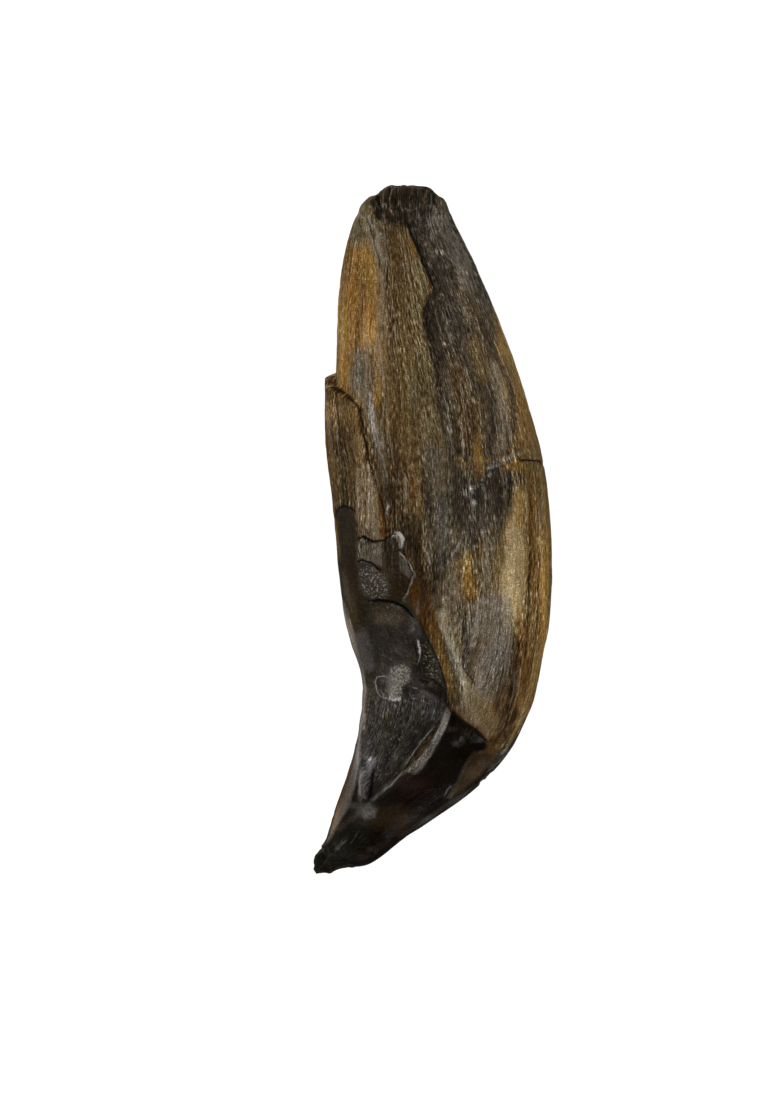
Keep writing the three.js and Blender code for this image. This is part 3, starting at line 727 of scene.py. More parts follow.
def stain_outer_layer(skin):
    """The layer left on the left edge, its torn border with painted shade along its ledge, and the dark notch
    and the dark capsule on it.
    """
    layer = [(300, 386), (337, 386), (346, 392.5), (359, 407), (362, 420), (366, 447), (373, 475),
        (384, 510), (386, 538), (357, 540), (330, 560), (300, 560)]
    skin.fill(OLIVE, 1.0, layer, 3, 0.6, 161, (0.4, 1.2))
    skin.draw(UMBER, 0.9, [(345, 405), (347, 440), (350, 480), (350, 505)], 13, 7, 7, 162)
    skin.draw(HAZEL, 0.95, [(327, 400), (328, 440), (332, 490), (337, 540), (340, 580)], 7, 5, 4, 163)
    skin.draw(TAWNY, 0.7, [(336, 400), (338, 440), (341, 480)], 4, 4, 4, 164)
    skin.draw(COCOA, 0.6, [(331, 400), (333, 440), (336, 480)], 2, 3, 2, 175)
    skin.draw(TAWNY, 0.8, [(356.5, 406), (358.5, 420), (361, 438)], 3.5, 3, 1, 165)
    skin.draw(REED, 0.85, [(360, 436), (364, 462), (369, 482)], 8, 6, 4, 166)
    tan_end = [(355, 466), (368, 462), (376, 484), (380, 512), (378, 538), (357, 537)]
    skin.fill(MAUVE_TAN, 0.95, tan_end, 6, 4, 167)
    skin.draw(DUSK, 0.6, [(374, 500), (376, 520), (374, 535)], 5, 4, 3, 168)
    skin.draw(COPPER, 0.95, [(380.5, 496), (383, 512), (383, 536)], 4.5, 2.4, 1, 169)
    skin.draw(RUST, 0.7, [(381.5, 500), (383.5, 514)], 3, 2.4, 1, 170)
    # painted shade: the top of the layer's ledge darkened by half
    ledge = skin.stroke([(325, 387), (337, 387), (345, 393)], 1.6, 2)
    skin.colour = skin.colour * mix(1.0, 0.5, ledge)[:, None]
    notch = skin.patch([(318, 372), (336, 372), (337, 385), (318, 386)], 2)
    skin.stain(notch, PEAT, 0.97)
    skin.fill(PITCH, 0.9, [(328.5, 374.5), (334, 374.5), (334.5, 385), (328.5, 385)], 2.4)
    skin.draw(SOOT, 0.8, [(318, 372.5), (336, 373)], 2, 2)
    skin.draw(TAWNY, 0.7, [(334, 376), (334.5, 385)], 2.4, 2)
    skin.fill(SMOKE, 0.97, CAPSULE, 3)
    skin.draw(CREVICE_AND_SHADOW, 0.8, [(337, 518), (340, 508), (346, 505), (353, 508)], 2.4, 2)
    skin.draw(GINGER, 0.85, [(336.5, 514), (337, 526), (338, 546)], 4, 3)
    # painted shadow: a dark line just beside the layer's torn ledge
    skin.draw(PITCH, 0.5, [(u + 0.6, v - 0.4) for u, v in LAYER_EDGE[3:12]], 0.8, 1.4)
    skin.draw(FAWN, 0.8, [(366, 402), (372, 430), (378, 460), (386, 502)], 7, 4, 4, 171)
    lilac_ribs = skin.stroke([(367, 394), (370, 412), (374, 430), (378, 456)], 7, 4, 2.5, 173)
    skin.stain(lilac_ribs * smooth(-0.1, 0.4, skin.streaks(0.22, 2.2, 178)), PEARL, 0.75)
    skin.stain(lilac_ribs * smooth(0.1, 0.4, skin.streaks(0.24, 3.0, 179)), DUN, 0.6)
    skin.draw(WALNUT, 0.7, [(371, 442), (377, 470), (384, 500)], 4, 4, 3, 172)


def stain_lower_root(skin):
    """The root's lower half: brown and grey bands, a dark swirl, a tan strip, and lilac by the neck."""
    brown = [(388, 430), (430, 440), (440, 500), (436, 560), (424, 600), (412, 604), (404, 596), (412, 572),
        (404, 548), (402, 532), (388, 532), (386, 500)]
    skin.fill(LOAM, 0.95, brown, 8, 6, 181)
    skin.draw(DAMP_MOSS, 0.85, [(396, 455), (397, 500), (396, 528)], 6, 5, 4, 182)
    skin.draw(OLIVE, 0.6, [(415, 430), (418, 470), (420, 510)], 10, 8, 6, 183)
    skin.draw(DAMP_MOSS, 0.8, [(421, 520), (417, 550), (416, 580)], 9, 8, 5, 210)
    grey = [(428, 440), (452, 452), (458, 490), (452, 540), (444, 580), (432, 590), (428, 540), (426, 480)]
    skin.fill(DRAB, 0.9, grey, 8, 8, 184)
    skin.draw(STONE, 0.7, [(442, 505), (446, 535), (441, 565)], 10, 8, 5, 185)
    skin.draw(WALNUT, 0.7, [(430, 450), (434, 490), (430, 530)], 4, 4, 4, 211)
    swirl = [(452, 462), (476, 482), (500, 466), (514, 470), (516, 494), (508, 522), (494, 545), (470, 545),
        (456, 520), (450, 490)]
    skin.fill(PLUM, 0.97, swirl, 12, 8, 186)
    skin.draw(CHARCOAL, 0.85, [(488, 472), (502, 490), (500, 514)], 16, 11, 6, 187)
    skin.draw(DUN, 0.7, [(480, 500), (472, 530), (464, 556)], 13, 9, 6, 188)
    skin.draw(GINGER, 0.9, [(479, 448), (480, 460), (482, 470)], 6, 5, 3, 189)
    skin.draw(OCHRE, 0.9, [(509, 464), (517, 463), (526, 467)], 9, 9, 5, 190, (0.4, 1.0))
    skin.draw(BRONZE, 0.9, [(524, 446), (530, 466), (533, 496)], 12, 8, 5, 191)
    skin.draw(LOAM, 0.7, [(523, 476), (526, 488)], 7, 6, 3, 192)
    tan = [(506, 492), (520, 484), (527, 500), (528, 560), (524, 600), (516, 630), (500, 640), (500, 600),
        (503, 550)]
    skin.fill(TAN, 0.95, tan, 9, 7, 193)
    skin.draw(BUFF, 0.8, [(514, 530), (512, 570), (508, 610)], 10, 8, 5, 194)
    skin.draw(AMBER, 0.7, [(518, 494), (521, 520)], 9, 7, 4, 212)
    skin.draw(DRAB, 0.85, [(497, 520), (489, 560), (486, 600)], 11, 8, 6, 195)
    skin.draw(LICHEN, 0.7, [(480, 560), (486, 590)], 9, 7, 5, 213)
    skin.draw(AMBER, 0.97, [(467, 556), (468, 575), (471, 592)], 9, 5, 3, 196)
    skin.draw(HAZEL, 0.85, [(474, 590), (476, 605), (480, 620)], 8, 7, 4, 197)
    skin.draw(TOFFEE, 0.8, [(480, 534), (481, 554)], 5, 4, 3, 198)
    lilac = [(470, 600), (492, 590), (508, 600), (512, 640), (508, 680), (498, 705), (478, 700), (462, 660),
        (462, 620)]
    skin.fill(LILAC, 0.97, lilac, 9, 8, 199)
    skin.draw(LILAC_GREY, 0.6, [(492, 650), (488, 676), (484, 694)], 9, 7, 4, 214)
    skin.draw(DUN, 0.8, [(480, 636), (474, 656), (468, 672)], 6, 6, 4, 200)
    skin.draw(DUN, 0.8, [(500, 670), (496, 700), (500, 720)], 8, 7, 5, 215)
    border = [(438, 585), (456, 570), (462, 600), (452, 640), (462, 668), (474, 690), (500, 710),
        (508, 730), (492, 742), (480, 732), (462, 716), (450, 700), (450, 680), (442, 655), (432, 630),
        (430, 606)]
    skin.fill(MAUVE_TAN, 0.95, border, 7, 6, 201)
    skin.draw(SAND, 0.9, [(443, 604), (446, 630), (453, 658), (463, 682), (476, 704), (488, 722)],
        13, 6, 4, 202)
    skin.draw(LICHEN, 0.85, [(472, 696), (484, 714), (492, 730)], 11, 9, 5, 203)
    skin.draw(WALNUT, 0.7, [(498, 704), (503, 722), (499, 736)], 7, 7, 4, 204)
    skin.draw(LEAF_MOULD, 0.7, [(459, 600), (464, 636), (468, 656)], 4, 5, 5, 205)
    skin.draw(FAWN, 0.7, [(440, 545), (448, 575), (452, 600)], 6, 6, 5, 216)
    olive = [(u + 7.5, v - 4) for u, v in NECK[1:9]]
    skin.draw(MOSS, 0.97, [(416, 585), (413, 600)] + olive, 14, 4, 2, 206)
    skin.fill(TOFFEE, 0.9, [(404, 592), (414, 584), (428, 590), (436, 612), (438, 640), (428, 632),
        (414, 608)], 6, 3, 207)
    skin.draw(TOFFEE, 0.8, [(431, 622), (438, 644), (446, 668), (450, 688)], 7, 4, 2, 207)
    skin.draw(COCOA, 0.7, [(420, 560), (423, 580), (423, 600)], 7, 6, 4, 208)
    skin.draw(WALNUT, 0.7, [(436, 560), (434, 585), (438, 606)], 7, 6, 5, 209)


def stain_crown(skin):
    """Bared dentine, the black enamel round it, the neck's flake, and a painted reflection along the left
    flank.
    """
    gap = crown_line_gap(skin)
    crown = smooth(1.2, -1.2, gap) * skin.upper
    skin.stain(crown, ENAMEL)
    skin.fill(IRONSTONE, 1.0, BARED_DENTINE, 3)
    skin.fill(SMOKE, 0.95, [(357, 545), (385, 540), (404, 560), (412, 600), (420, 640), (412, 668),
        (364, 668), (350, 620), (346, 560)], 4)
    skin.fill(LEAF_MOULD, 0.9, [(366, 603), (384, 600), (402, 608), (402, 622), (370, 626)], 9)
    skin.fill(IRONSTONE, 0.8, [(362, 625), (400, 624), (412, 640), (408, 664), (366, 664)], 10)
    skin.fill(CHARCOAL, 0.95, [(325, 546), (357, 546), (358, 600), (350, 616), (336, 612)], 16, 3, 232)
    flank = [(340, 600), (344, 618), (351, 642), (359, 670), (363, 700), (364, 726)]
    skin.draw(BOG_OAK, 0.9, [(u + 4, v) for u, v in flank], 12, 7)
    # painted reflection: a pale grey band along the left flank
    skin.draw(FLINT, 0.85, [(u + 0.5, v) for u, v in flank], 6.5, 4, 2.0, 234, (0.3, 2.5), 0.6)
    fibrous = [(368, 700), (400, 700), (444, 706), (440, 728), (424, 752), (402, 770), (374, 796), (366, 770)]
    skin.fill(IRONSTONE, 0.95, fibrous, 8)
    skin.draw(BOG_OAK, 0.7, [(384, 716), (378, 745), (372, 768)], 12, 9, 5, 221)
    skin.draw(SLATE, 0.7, [(412, 712), (402, 738), (388, 768)], 10, 8, 5, 222)
    skin.draw(DARK_ENAMEL, 0.7, [(400, 716), (392, 742), (382, 770)], 4, 4, 3, 223)
    skin.fill(DARK_BLOOM_AND_SHEEN, 0.85, [(418, 692), (436, 698), (446, 706), (443, 722), (420, 722)], 6)
    skin.fill(SOOT, 0.95, [(417, 680), (431, 679), (446, 689), (447, 701), (434, 696), (420, 690)], 4)
    skin.fill(BOG_OAK, 0.85, [(418, 612), (424, 634), (434, 656), (442, 678), (430, 680), (418, 672),
        (420, 640)], 4)
    skin.fill(DARK_BLOOM_AND_SHEEN, 0.7, NECK_NICK, 5)
    pale = [(449.5, 708.5), (450.5, 712.5), (446, 725.5), (436, 745.5), (427.5, 759.5), (422, 768),
        (415.5, 773), (403, 772), (411, 765), (422, 755), (430, 743), (439, 728), (443.5, 714)]
    skin.fill(ASH, 1.0, pale, 2.4, 0.8, 243)
    skin.draw(PALE_LILAC, 0.9, [(447.5, 711), (442.5, 726), (435, 741)], 6, 2.4, 1.6, 235)
    skin.draw(LILAC_GREY, 0.8, [(434, 743), (427, 754), (419, 765)], 7, 3, 1.6, 239)
    skin.fill(LILAC_GREY, 0.8, [(411, 768), (418, 759), (424, 758), (421, 768), (414, 772)], 4)
    skin.draw(PALE_ASH, 0.85, [(403, 771.5), (392, 783), (381.5, 791.6), (372, 800)], 3, 2)
    skin.fill(MOSS, 1.0, [(433, 731), (428, 745), (419, 757), (407, 767), (409, 758), (419, 744)], 2.4)
    skin.draw(ASH, 0.85, WINDOW_EDGE, 1.8, 1.8)
    skin.fill(EMBER, 0.85, [(394, 776), (420, 774), (434, 780), (430, 796), (400, 800)], 14)
    skin.fill(PEAT, 0.9, [(374, 808), (400, 806), (418, 814), (402, 832), (376, 828)], 14)
    skin.fill(DARK_PEAT, 0.85, [(352, 854), (372, 846), (396, 840), (384, 852), (362, 862)], 8)
    smear = skin.patch([(448, 726), (464, 728), (470, 744), (456, 752), (446, 742)], 8)
    skin.stain(smear * smooth(0.0, 0.5, skin.mottle(0.6, 248, 3)), DARK_BLOOM_AND_SHEEN, 0.7)
    skin.fill(DAMP_MOSS, 1.0, FACET, 4)
    skin.fill(WALNUT, 0.7, [(468, 770), (484, 762), (480, 774), (462, 790)], 8)
    skin.draw(SLATE, 0.85, FACET_RIDGE, 3.4, 2.4)
    skin.fill(COCOA, 0.95, [(488, 739), (499, 729), (512, 729), (505, 746), (493, 753), (484, 752)], 5)
    skin.fill(JET, 0.9, [(475, 729), (488, 741), (487, 750), (478, 752), (476, 739)], 4)
    skin.draw(LICHEN, 0.8, [(503, 746), (507, 744), (512, 740)], 4, 3)
    skin.draw(PALE_LILAC, 0.95, EDGE_CRACK, 1.8, 1.6)
    skin.draw(PITCH, 0.97, [(508, 753), (500, 765), (492, 776)], 4.5, 2)


def stain_rim(skin):
    """The crown's left rim: a lilac facet, the amber sliver outside it, and the dark chipped tip, with a
    painted reflection along the left flank above it, painted glints on the tip and a painted highlight along
    the crown's lower right edge.
    """
    facet = [(366, 690), (364.5, 715), (363.5, 740), (362, 760), (358, 782), (350, 806), (340, 822),
        (328, 842), (322, 848), (330, 824), (338, 806), (347, 781), (355, 756), (358, 733), (358, 700)]
    skin.fill(LILAC_GREY, 0.95, facet, 4)
    # painted reflection: a paler band along the left flank above the rim
    skin.draw(STONE, 0.8, [(352, 640), (358, 670), (361, 700), (359, 728)], 7, 6)
    sliver = [(355, 732), (357, 742), (350, 770), (342, 795), (334, 820), (326, 838), (318, 838),
        (330, 800), (345, 760)]
    skin.fill(CARAMEL, 0.97, sliver, 3, 1.2, 246, (0.3, 0.5))
    nicks = skin.stroke([(349, 756), (341, 782), (333, 806), (324, 830)], 5, 2)
    skin.stain(nicks * smooth(0.1, 0.4, skin.mottle(0.45, 247, 2)), CREVICE_AND_SHADOW, 0.85)
    skin.draw(PALE_ASH, 0.8, [(362, 772), (361, 788), (360, 800)], 3, 3)
    skin.fill(PEWTER, 0.7, [(366, 757), (373, 758), (371, 771), (366, 774)], 5, 1.0, 236)
    skin.fill(PEWTER, 0.8, [(363, 768), (367, 774), (366, 798), (361, 797)], 4, 1.0, 237)
    skin.draw(SCORCH, 0.97, RIM_SLIT, 2.4, 1.6)
    haze = skin.patch([(346, 806), (354, 794), (366, 799), (376, 806), (374, 816), (360, 820), (346, 816)], 9)
    skin.stain(haze * smooth(-0.5, 0.4, skin.mottle(0.7, 242, 2)), DARK_BLOOM_AND_SHEEN, 0.8)
    skin.dab(TREACLE, 0.6, (396, 827), 9)
    pebbled = skin.patch([(361, 808), (368, 803), (376, 808), (375, 817), (364, 818)], 5, 1.5, 238)
    skin.stain(pebbled * smooth(-0.6, 0.1, skin.mottle(0.5, 264, 2)), PALE_ASH, 0.85)
    skin.fill(PALE_ASH, 0.5, [(368, 806), (375, 808), (374, 815), (369, 815)], 5)
    skin.fill(DARK_ENAMEL, 0.7, [(330, 838), (350, 812), (372, 820), (366, 846), (338, 862)], 12)
    # painted highlight: a pale grey line along the crown's lower right edge
    lip = [(500, 769), (481, 784), (464, 795), (447, 805), (433, 815), (420, 824.5), (400, 836)]
    skin.draw(DARK_BLOOM_AND_SHEEN, 0.8, lip, 4, 4, 1.5, 233)
    tip = [(310, 850), (326, 842), (336, 850), (352, 866), (336, 880), (310, 880)]
    skin.fill(DARK_ENAMEL, 0.95, tip, 8, 2, 231)
    skin.dab(PITCH, 0.9, (320, 857), 3)
    skin.draw(SLATE, 0.5, [(325, 848), (327, 856), (323, 864), (317, 870)], 2.4, 2, 1, 263)
    # painted glints on the tip
    glints = skin.patch([(326, 852), (338, 838), (358, 832), (366, 842), (352, 857), (330, 864)], 7)
    skin.stain(glints * smooth(0.3, 0.6, skin.streaks(0.35, 1.3, 245, 2)), GLINT, 0.45)


def stain_flakes(skin):
    """The flake on the neck, the worn one below it, the speckled patch, and pale little chips about them."""
    left_part = [(357, 539), (363.5, 534.5), (373, 540.5), (383, 539), (383, 566), (372, 562), (357, 562)]
    skin.fill(CHARCOAL, 0.97, NECK_FLAKE, 3)
    skin.fill(STONE, 0.92, left_part, 5)
    skin.draw(DARK_ENAMEL, 0.9, [(357, 540), (363.5, 535), (373, 541), (383, 539), (391.5, 534)], 2, 1.8)
    skin.fill(PALE_LILAC, 0.8, [(390, 536), (394, 532), (399, 531.5), (403.5, 539), (402.5, 548),
        (400.5, 547), (399, 540), (394, 536.5)], 2)
    skin.fill(STONE, 0.95, [(399, 553), (404, 558), (413.5, 574), (409, 577), (400, 569)], 2.4)
    skin.draw(PUTTY, 0.7, FLAKE_CHIP, 1.8, 1.6, 1.5, 240, (0.3, 0.3))
    skin.draw(STONE, 0.8, FLAKE_SIDE, 1.8, 1.6, 1.5, 241, (0.3, 0.3))
    skin.fill(SLATE, 0.85, WORN_FLAKE, 6)
    skin.draw(DARK_ENAMEL, 0.85, FLAKE_ARC, 2, 1.8)
    skin.draw(ENAMEL, 0.95, LOWER_ARC, 3.4, 2.4)
    skin.fill(PEAT, 0.8, [(394, 578), (408, 580), (404, 598), (392, 598)], 5)
    skin.fill(PALE_ASH, 0.7, [(381, 678), (391, 672), (397, 684), (397, 701), (386, 700)], 6, 2, 258)
    skin.fill(ASH, 0.85, SPECKLED_PATCH, 5)
    skin.fill(DARK_ENAMEL, 0.8, [(399, 688), (406, 684), (407, 693), (401, 699)], 4, 1.5, 259)
    skin.draw(PALE_CHIP, 0.8, [(389, 701), (393, 700), (397, 700.5)], 1.8, 1.5)
    skin.draw(LILAC, 0.8, [(418.5, 601), (417, 612)], 2, 1.8)
    skin.draw(TOFFEE, 0.85, [(411.5, 479), (412, 490), (412.5, 501)], 4, 3, 1.5, 244)
    skin.draw(PALE_CHIP, 0.9, [(386, 512), (388, 504)], 3.2, 2.2)
    skin.draw(PUTTY, 0.8, ROOT_THORN, 1.8, 1.6)


# Crack lines and crevices, with painted shadow lines beside ledges.
CRACKS_AND_SHADOW_LINES = [  # line, width, strength, wander
    # painted shadow: dark lines along the root's step, thinner towards its end
    (ROOT_STEP[:9], 2.4, 1.0, 1.4),
    (ROOT_STEP[7:12], 1.8, 0.7, 1.4),
    (ROOT_STEP[11:17], 1.2, 0.5, 1.6),
    # the crack along the outer layer's ledge, darkened further as painted shadow
    (LAYER_EDGE[1:5], 1.4, 0.9, 0.3),
    (LAYER_EDGE[3:12], 1.1, 0.85, 0.4),
    (LAYER_EDGE[10:14], 1.4, 0.7, 0.6),
    ([(338, 520), (339, 512), (342, 506.5), (347, 505), (352, 507), (355.5, 512)], 1.4, 0.7, 0.3),
    ([(356.5, 517), (357.5, 530), (357, 545), (356, 562)], 1.2, 0.5, 0.6),
    (NECK_FLAKE[0:6], 1.8, 0.95, 0.8),
    (NECK_FLAKE[6:12], 1.5, 0.8, 0.8),
    (FLAKE_ARC, 1.5, 0.9, 0.5),
    (LOWER_ARC + [(416, 622)], 2.4, 1.0, 0.6),
    (NECK[2:8], 1.6, 0.8, 0.8),
    (NECK[7:13], 1.4, 0.8, 0.8),
    (RIM_SLIT, 1.4, 0.9, 0.6),
    ([(505, 752), (498, 762), (490, 773), (482, 781)], 1.4, 0.8, 0.3),
    (RIGHT_CRACK[0:4], 1.3, 0.9, 0.8),
    (RIGHT_CRACK[3:9], 1.0, 0.4, 0.5),
    ([(538, 493), (535, 505), (535, 520), (538, 532)], 1.0, 0.35, 0.5),
    (BARED_DENTINE[13:21], 1.0, 0.35, 0.8),
    ([(377, 190), (376, 196), (378, 205), (381, 214)], 3.0, 0.95, 1.8),
    ([(384, 222), (391, 219), (400, 222), (407, 218)], 1.6, 0.6, 1.8),
    ([(393, 195), (398, 206), (396, 216)], 1.2, 0.5, 1.8),
    ([(414, 190), (418, 200), (413, 212)], 1.4, 0.6, 1.8),
    ([(433, 190), (434, 202), (441, 216)], 1.6, 0.7, 1.8),
    ([(365, 214), (369, 224), (373, 238), (377, 254), (380, 272)], 1.2, 0.6, 1.4),
    ([(381, 226), (385, 240), (388, 256)], 1.2, 0.6, 1.4),
    ([(386, 262), (387, 290), (384, 318), (383, 345)], 1.2, 0.55, 1.6),
    ([(362, 262), (364, 290), (361, 320)], 1.0, 0.4, 1.8),
    ([(374, 384), (380, 410), (384, 436), (390, 462)], 1.2, 0.55, 1.6),
    ([(470, 402), (473, 424), (473, 446)], 1.2, 0.6, 0.8),
    ([(452, 404), (455, 430), (460, 458)], 1.0, 0.45, 1.0),
    ([(463, 446), (475, 440), (488, 452), (500, 456)], 1.0, 0.4, 1.4),
    ([(455, 598), (461, 618), (464, 640), (462, 655), (465, 668), (471, 680), (477, 688)], 1.8, 0.65, 1.8),
    ([(477, 688), (486, 684), (494, 675), (499, 660)], 1.4, 0.5, 1.8),
    ([(472, 612), (471, 630), (466, 648)], 1.2, 0.45, 1.4),
    ([(483, 606), (481, 628), (474, 650)], 1.2, 0.45, 1.4),
    ([(490, 640), (486, 660), (478, 672)], 1.0, 0.4, 1.4),
    ([(513, 616), (514, 640), (511, 668), (504, 692)], 1.6, 0.55, 1.6),
    ([(506, 700), (507, 716), (503, 730), (508, 742)], 1.6, 0.55, 1.4),
    ([(530, 480), (531.5, 540), (530, 600), (526, 660), (518, 700)], 1.3, 0.45, 1.0),
    ([(447, 792), (440, 800), (430, 806)], 1.0, 0.5, 0.8),
    ([(421, 676), (430, 680), (440, 687), (446, 695)], 1.8, 0.8, 1.0),
    ([(413, 640), (416, 660), (420, 676)], 1.6, 0.7, 1.4),
]
PALE_LINES = [
    (RING_MARK, 0.9, 0.5, 0.4),
    ([(417.5, 640), (418.5, 648), (419.5, 656)], 2.4, 0.85, 0.8),
    ([(419.5, 654), (417.5, 661), (416, 666)], 1.2, 0.4, 0.8),
    ([(449.5, 710), (447, 722), (440, 736), (430, 752), (419, 767)], 1.6, 0.15, 1.6),
    ([(432, 729), (419, 744), (409, 759), (403, 768)], 0.9, 0.5, 0.4),
    ([(505, 751), (498, 761), (490, 772), (482, 781)], 1.4, 0.6, 0.5),
    ([(404, 471), (405.5, 486), (406, 501)], 1.1, 0.5, 1.2),
    ([(386, 510), (388, 504)], 2.0, 0.7, 0.5),
    ([(424, 545), (427, 553), (430, 565)], 1.6, 0.4, 1.2),
    ([(391, 535.5), (395, 532.5), (399, 532), (403, 538), (402.5, 548)], 2.6, 0.95, 0.5),
    (FLAKE_CHIP, 1.3, 0.5, 1.6),
    (FLAKE_SIDE, 1.1, 0.35, 2.0),
    (ROOT_THORN, 1.0, 0.35, 0.4),
    ([(409, 700), (416, 700)], 1.0, 0.4, 0.2),
    ([(410.5, 689.7), (416, 689.7)], 1.0, 0.4, 0.2),
    ([(402, 773), (392, 783), (381.5, 792)], 1.4, 0.3, 1.0),
    # painted reflection: a pale line along the left flank
    ([(341, 606), (345, 624), (352, 648), (359, 675), (362.5, 700), (363, 724)], 1.6, 0.35, 0.8),
    ([(379, 196), (380, 206), (383, 215), (385, 223)], 1.4, 0.28, 1.2),
    ([(384, 189.5), (396, 187), (412, 187), (424, 188.5)], 1.2, 0.2, 1.2),
    ([(430, 191), (431, 200), (430, 208)], 1.4, 0.25, 1.0),
    # the next seven lines: painted highlights on the ridges of the lilac band near the root's end
    ([(353, 211), (359, 212), (365, 219)], 1.4, 0.3, 1.0),
    ([(367, 213), (370, 220), (374, 228), (377, 238)], 1.8, 0.26, 2.4),
    ([(376, 236), (380, 250), (385, 262)], 1.4, 0.2, 2.4),
    ([(374, 216), (378, 223), (382, 232), (386, 244)], 1.3, 0.22, 2.4),
    ([(370, 232), (374, 246), (378, 262)], 1.2, 0.2, 2.4),
    ([(380, 268), (383, 284), (380, 300)], 1.2, 0.18, 2.4),
    ([(386, 262), (384, 280), (382, 300), (384, 322)], 1.1, 0.14, 2.4),
    ([(376, 300), (378, 330), (381, 360), (385, 384)], 1.4, 0.2, 1.6),
    ([(366, 386), (369, 400), (372, 414), (375, 428)], 1.2, 0.22, 1.6),
    ([(384, 386), (386, 410), (389, 436), (394, 466)], 1.2, 0.24, 1.4),
    ([(374, 424), (378, 442), (384, 464), (388, 486)], 1.2, 0.2, 1.4),
    ([(327, 396), (329, 430), (332, 480)], 1.2, 0.16, 1.2),
    ([(336, 398), (338, 430), (341, 470)], 1.0, 0.14, 1.4),
    ([(334, 566), (337, 584), (341, 604)], 1.4, 0.22, 0.8),
    # the next eight lines: painted sheen on the fibres of the root's dark side
    ([(432, 210), (440, 222), (447, 238)], 1.2, 0.2, 1.6),
    ([(443, 214), (452, 232), (462, 254)], 1.2, 0.24, 1.6),
    ([(446, 246), (456, 264), (466, 286)], 1.2, 0.2, 1.6),
    ([(440, 205), (449, 220), (459, 240), (469, 262)], 1.1, 0.28, 1.2),
    ([(436, 214), (445, 232), (455, 252), (463, 276)], 1.0, 0.24, 1.4),
    ([(451, 222), (461, 243), (472, 268), (480, 292)], 1.0, 0.24, 1.2),
    ([(456, 250), (466, 272), (474, 296)], 1.0, 0.2, 1.4),
    ([(428, 216), (434, 228), (440, 246)], 1.0, 0.2, 1.4),
    # painted highlight along the root's upper right edge
    ([(497, 312), (507, 336), (519, 372), (531, 412)], 1.2, 0.2, 1.2),
    ([(441, 602), (444, 628), (450, 652), (459, 676), (471, 698)], 2.4, 0.2, 1.8),
    ([(448, 606), (451, 632), (456, 656), (466, 680)], 1.4, 0.16, 1.8),
    ([(516, 668), (513, 690), (508, 706)], 1.2, 0.2, 1.2),
    # the next two lines: painted glints on the crown's lower right rim and on the tip
    ([(444, 797), (447, 790), (451, 785)], 1.4, 0.2, 0.6),
    ([(346, 838), (339, 845), (333, 853)], 1.4, 0.12, 1.6),
    ([(364, 771), (361, 782), (360, 796)], 2.0, 0.28, 1.0),
    ([(371, 758), (368, 766), (367, 776)], 1.6, 0.18, 1.6),
]


def trace_lines(skin):
    """Crisp crack lines and crevices, with painted shadow lines along the root's step and the layer's ledge,
    and pale lines: the thin pale edges of chips, with painted highlights and glints.
    """
    for number, (line, width, strength, wander) in enumerate(CRACKS_AND_SHADOW_LINES):
        skin.trace(skin.dark_lines, line, width, strength, wander, 500 + number)
    for number, (line, width, strength, wander) in enumerate(PALE_LINES):
        skin.trace(skin.pale_lines, line, width, strength, wander, 560 + number)


# Thin washes over the stains, and two painted sheens marked below.
WASHES_AND_SHEENS = [  # line, width, colour, strength: thin washes over what is stained already
    # painted sheen: pale grey on the left flank
    ([(357, 634), (361, 650), (365, 666)], 9, PALE_ASH, 0.7),
    ([(404, 516), (412, 545), (419, 575), (422, 602)], 9, TREACLE, 0.6),
    ([(328, 412), (333, 400), (345, 391), (352, 396)], 9, TOFFEE, 0.6),
    ([(483, 764), (489, 766), (495, 765)], 7, DUN, 0.8),
    ([(440, 738), (434, 750), (428, 762)], 4, SCORCH, 0.6),
    # painted sheen: pale grey on the crown's lower left rim
    ([(339, 829), (346, 822), (356, 816)], 5, SLATE, 0.5),
    ([(500, 588), (508, 604), (512, 624)], 11, MAUVE_TAN, 0.35),
    ([(444, 560), (452, 552), (464, 556)], 8, SMOKE, 0.5),
    ([(474, 478), (476, 500)], 9, SMOKE, 0.5),
    ([(506, 480), (510, 492), (507, 508), (500, 524)], 9, LEAF_MOULD, 0.8),
    ([(487, 672), (490, 690)], 10, LEAF_MOULD, 0.5),
    ([(376, 436), (378, 452)], 8, LEAF_MOULD, 0.5),
    ([(404, 434), (406, 452)], 8, REED, 0.5),
    ([(341, 566), (345, 584), (350, 606)], 6, DUN, 0.4),
    ([(464, 556), (467, 575), (471, 597)], 8, OCHRE, 0.6),
    ([(486, 530), (488, 560), (484, 584)], 10, FAWN, 0.35),
    ([(412, 205), (422, 206)], 9, CREVICE_AND_SHADOW, 0.5),
]


CHIPS = 30  # small chalky chips along the line across the root


def stain_specks(skin):
    """Thin washes and two painted sheens, the chalky line of chips across the root, and the small chips at
    the right edge.
    """
    for wash_and_sheen, (line, width, colour, strength) in enumerate(WASHES_AND_SHEENS):
        skin.draw(colour, strength, line, width, width, 2, 601 + wash_and_sheen)
    for chip, (u, v) in enumerate(rail(CHIP_LINE, 0.9 * (np.arange(CHIPS) + 0.5) / CHIPS)):
        u, v = u + 5 * (scatter(chip, 0, 251) - 0.5), v + 6 * (scatter(chip, 1, 251) - 0.5)
        skin.dab(DARK_ENAMEL, 0.85, (u + 1.6, v + 1.8), 1.5)
        skin.dab(PALE_CHIP, 0.9, (u, v), 0.7 + 0.6 * scatter(chip, 2, 251))
    skin.fill(CHALK, 0.7, [(472, 500), (476, 499), (477, 503), (473, 504)], 2.5)
    edge = skin.patch([(536, 537), (548, 535), (548, 542), (538, 544)], 3)
    skin.stain(edge * smooth(-0.2, 0.2, skin.mottle(0.3, 254, 2)), BONE, 0.8)
    skin.draw(FLINT, 0.6, [(502, 459), (512, 455), (522, 452)], 3, 2, 1.5, 256, (0.3, 0.3))


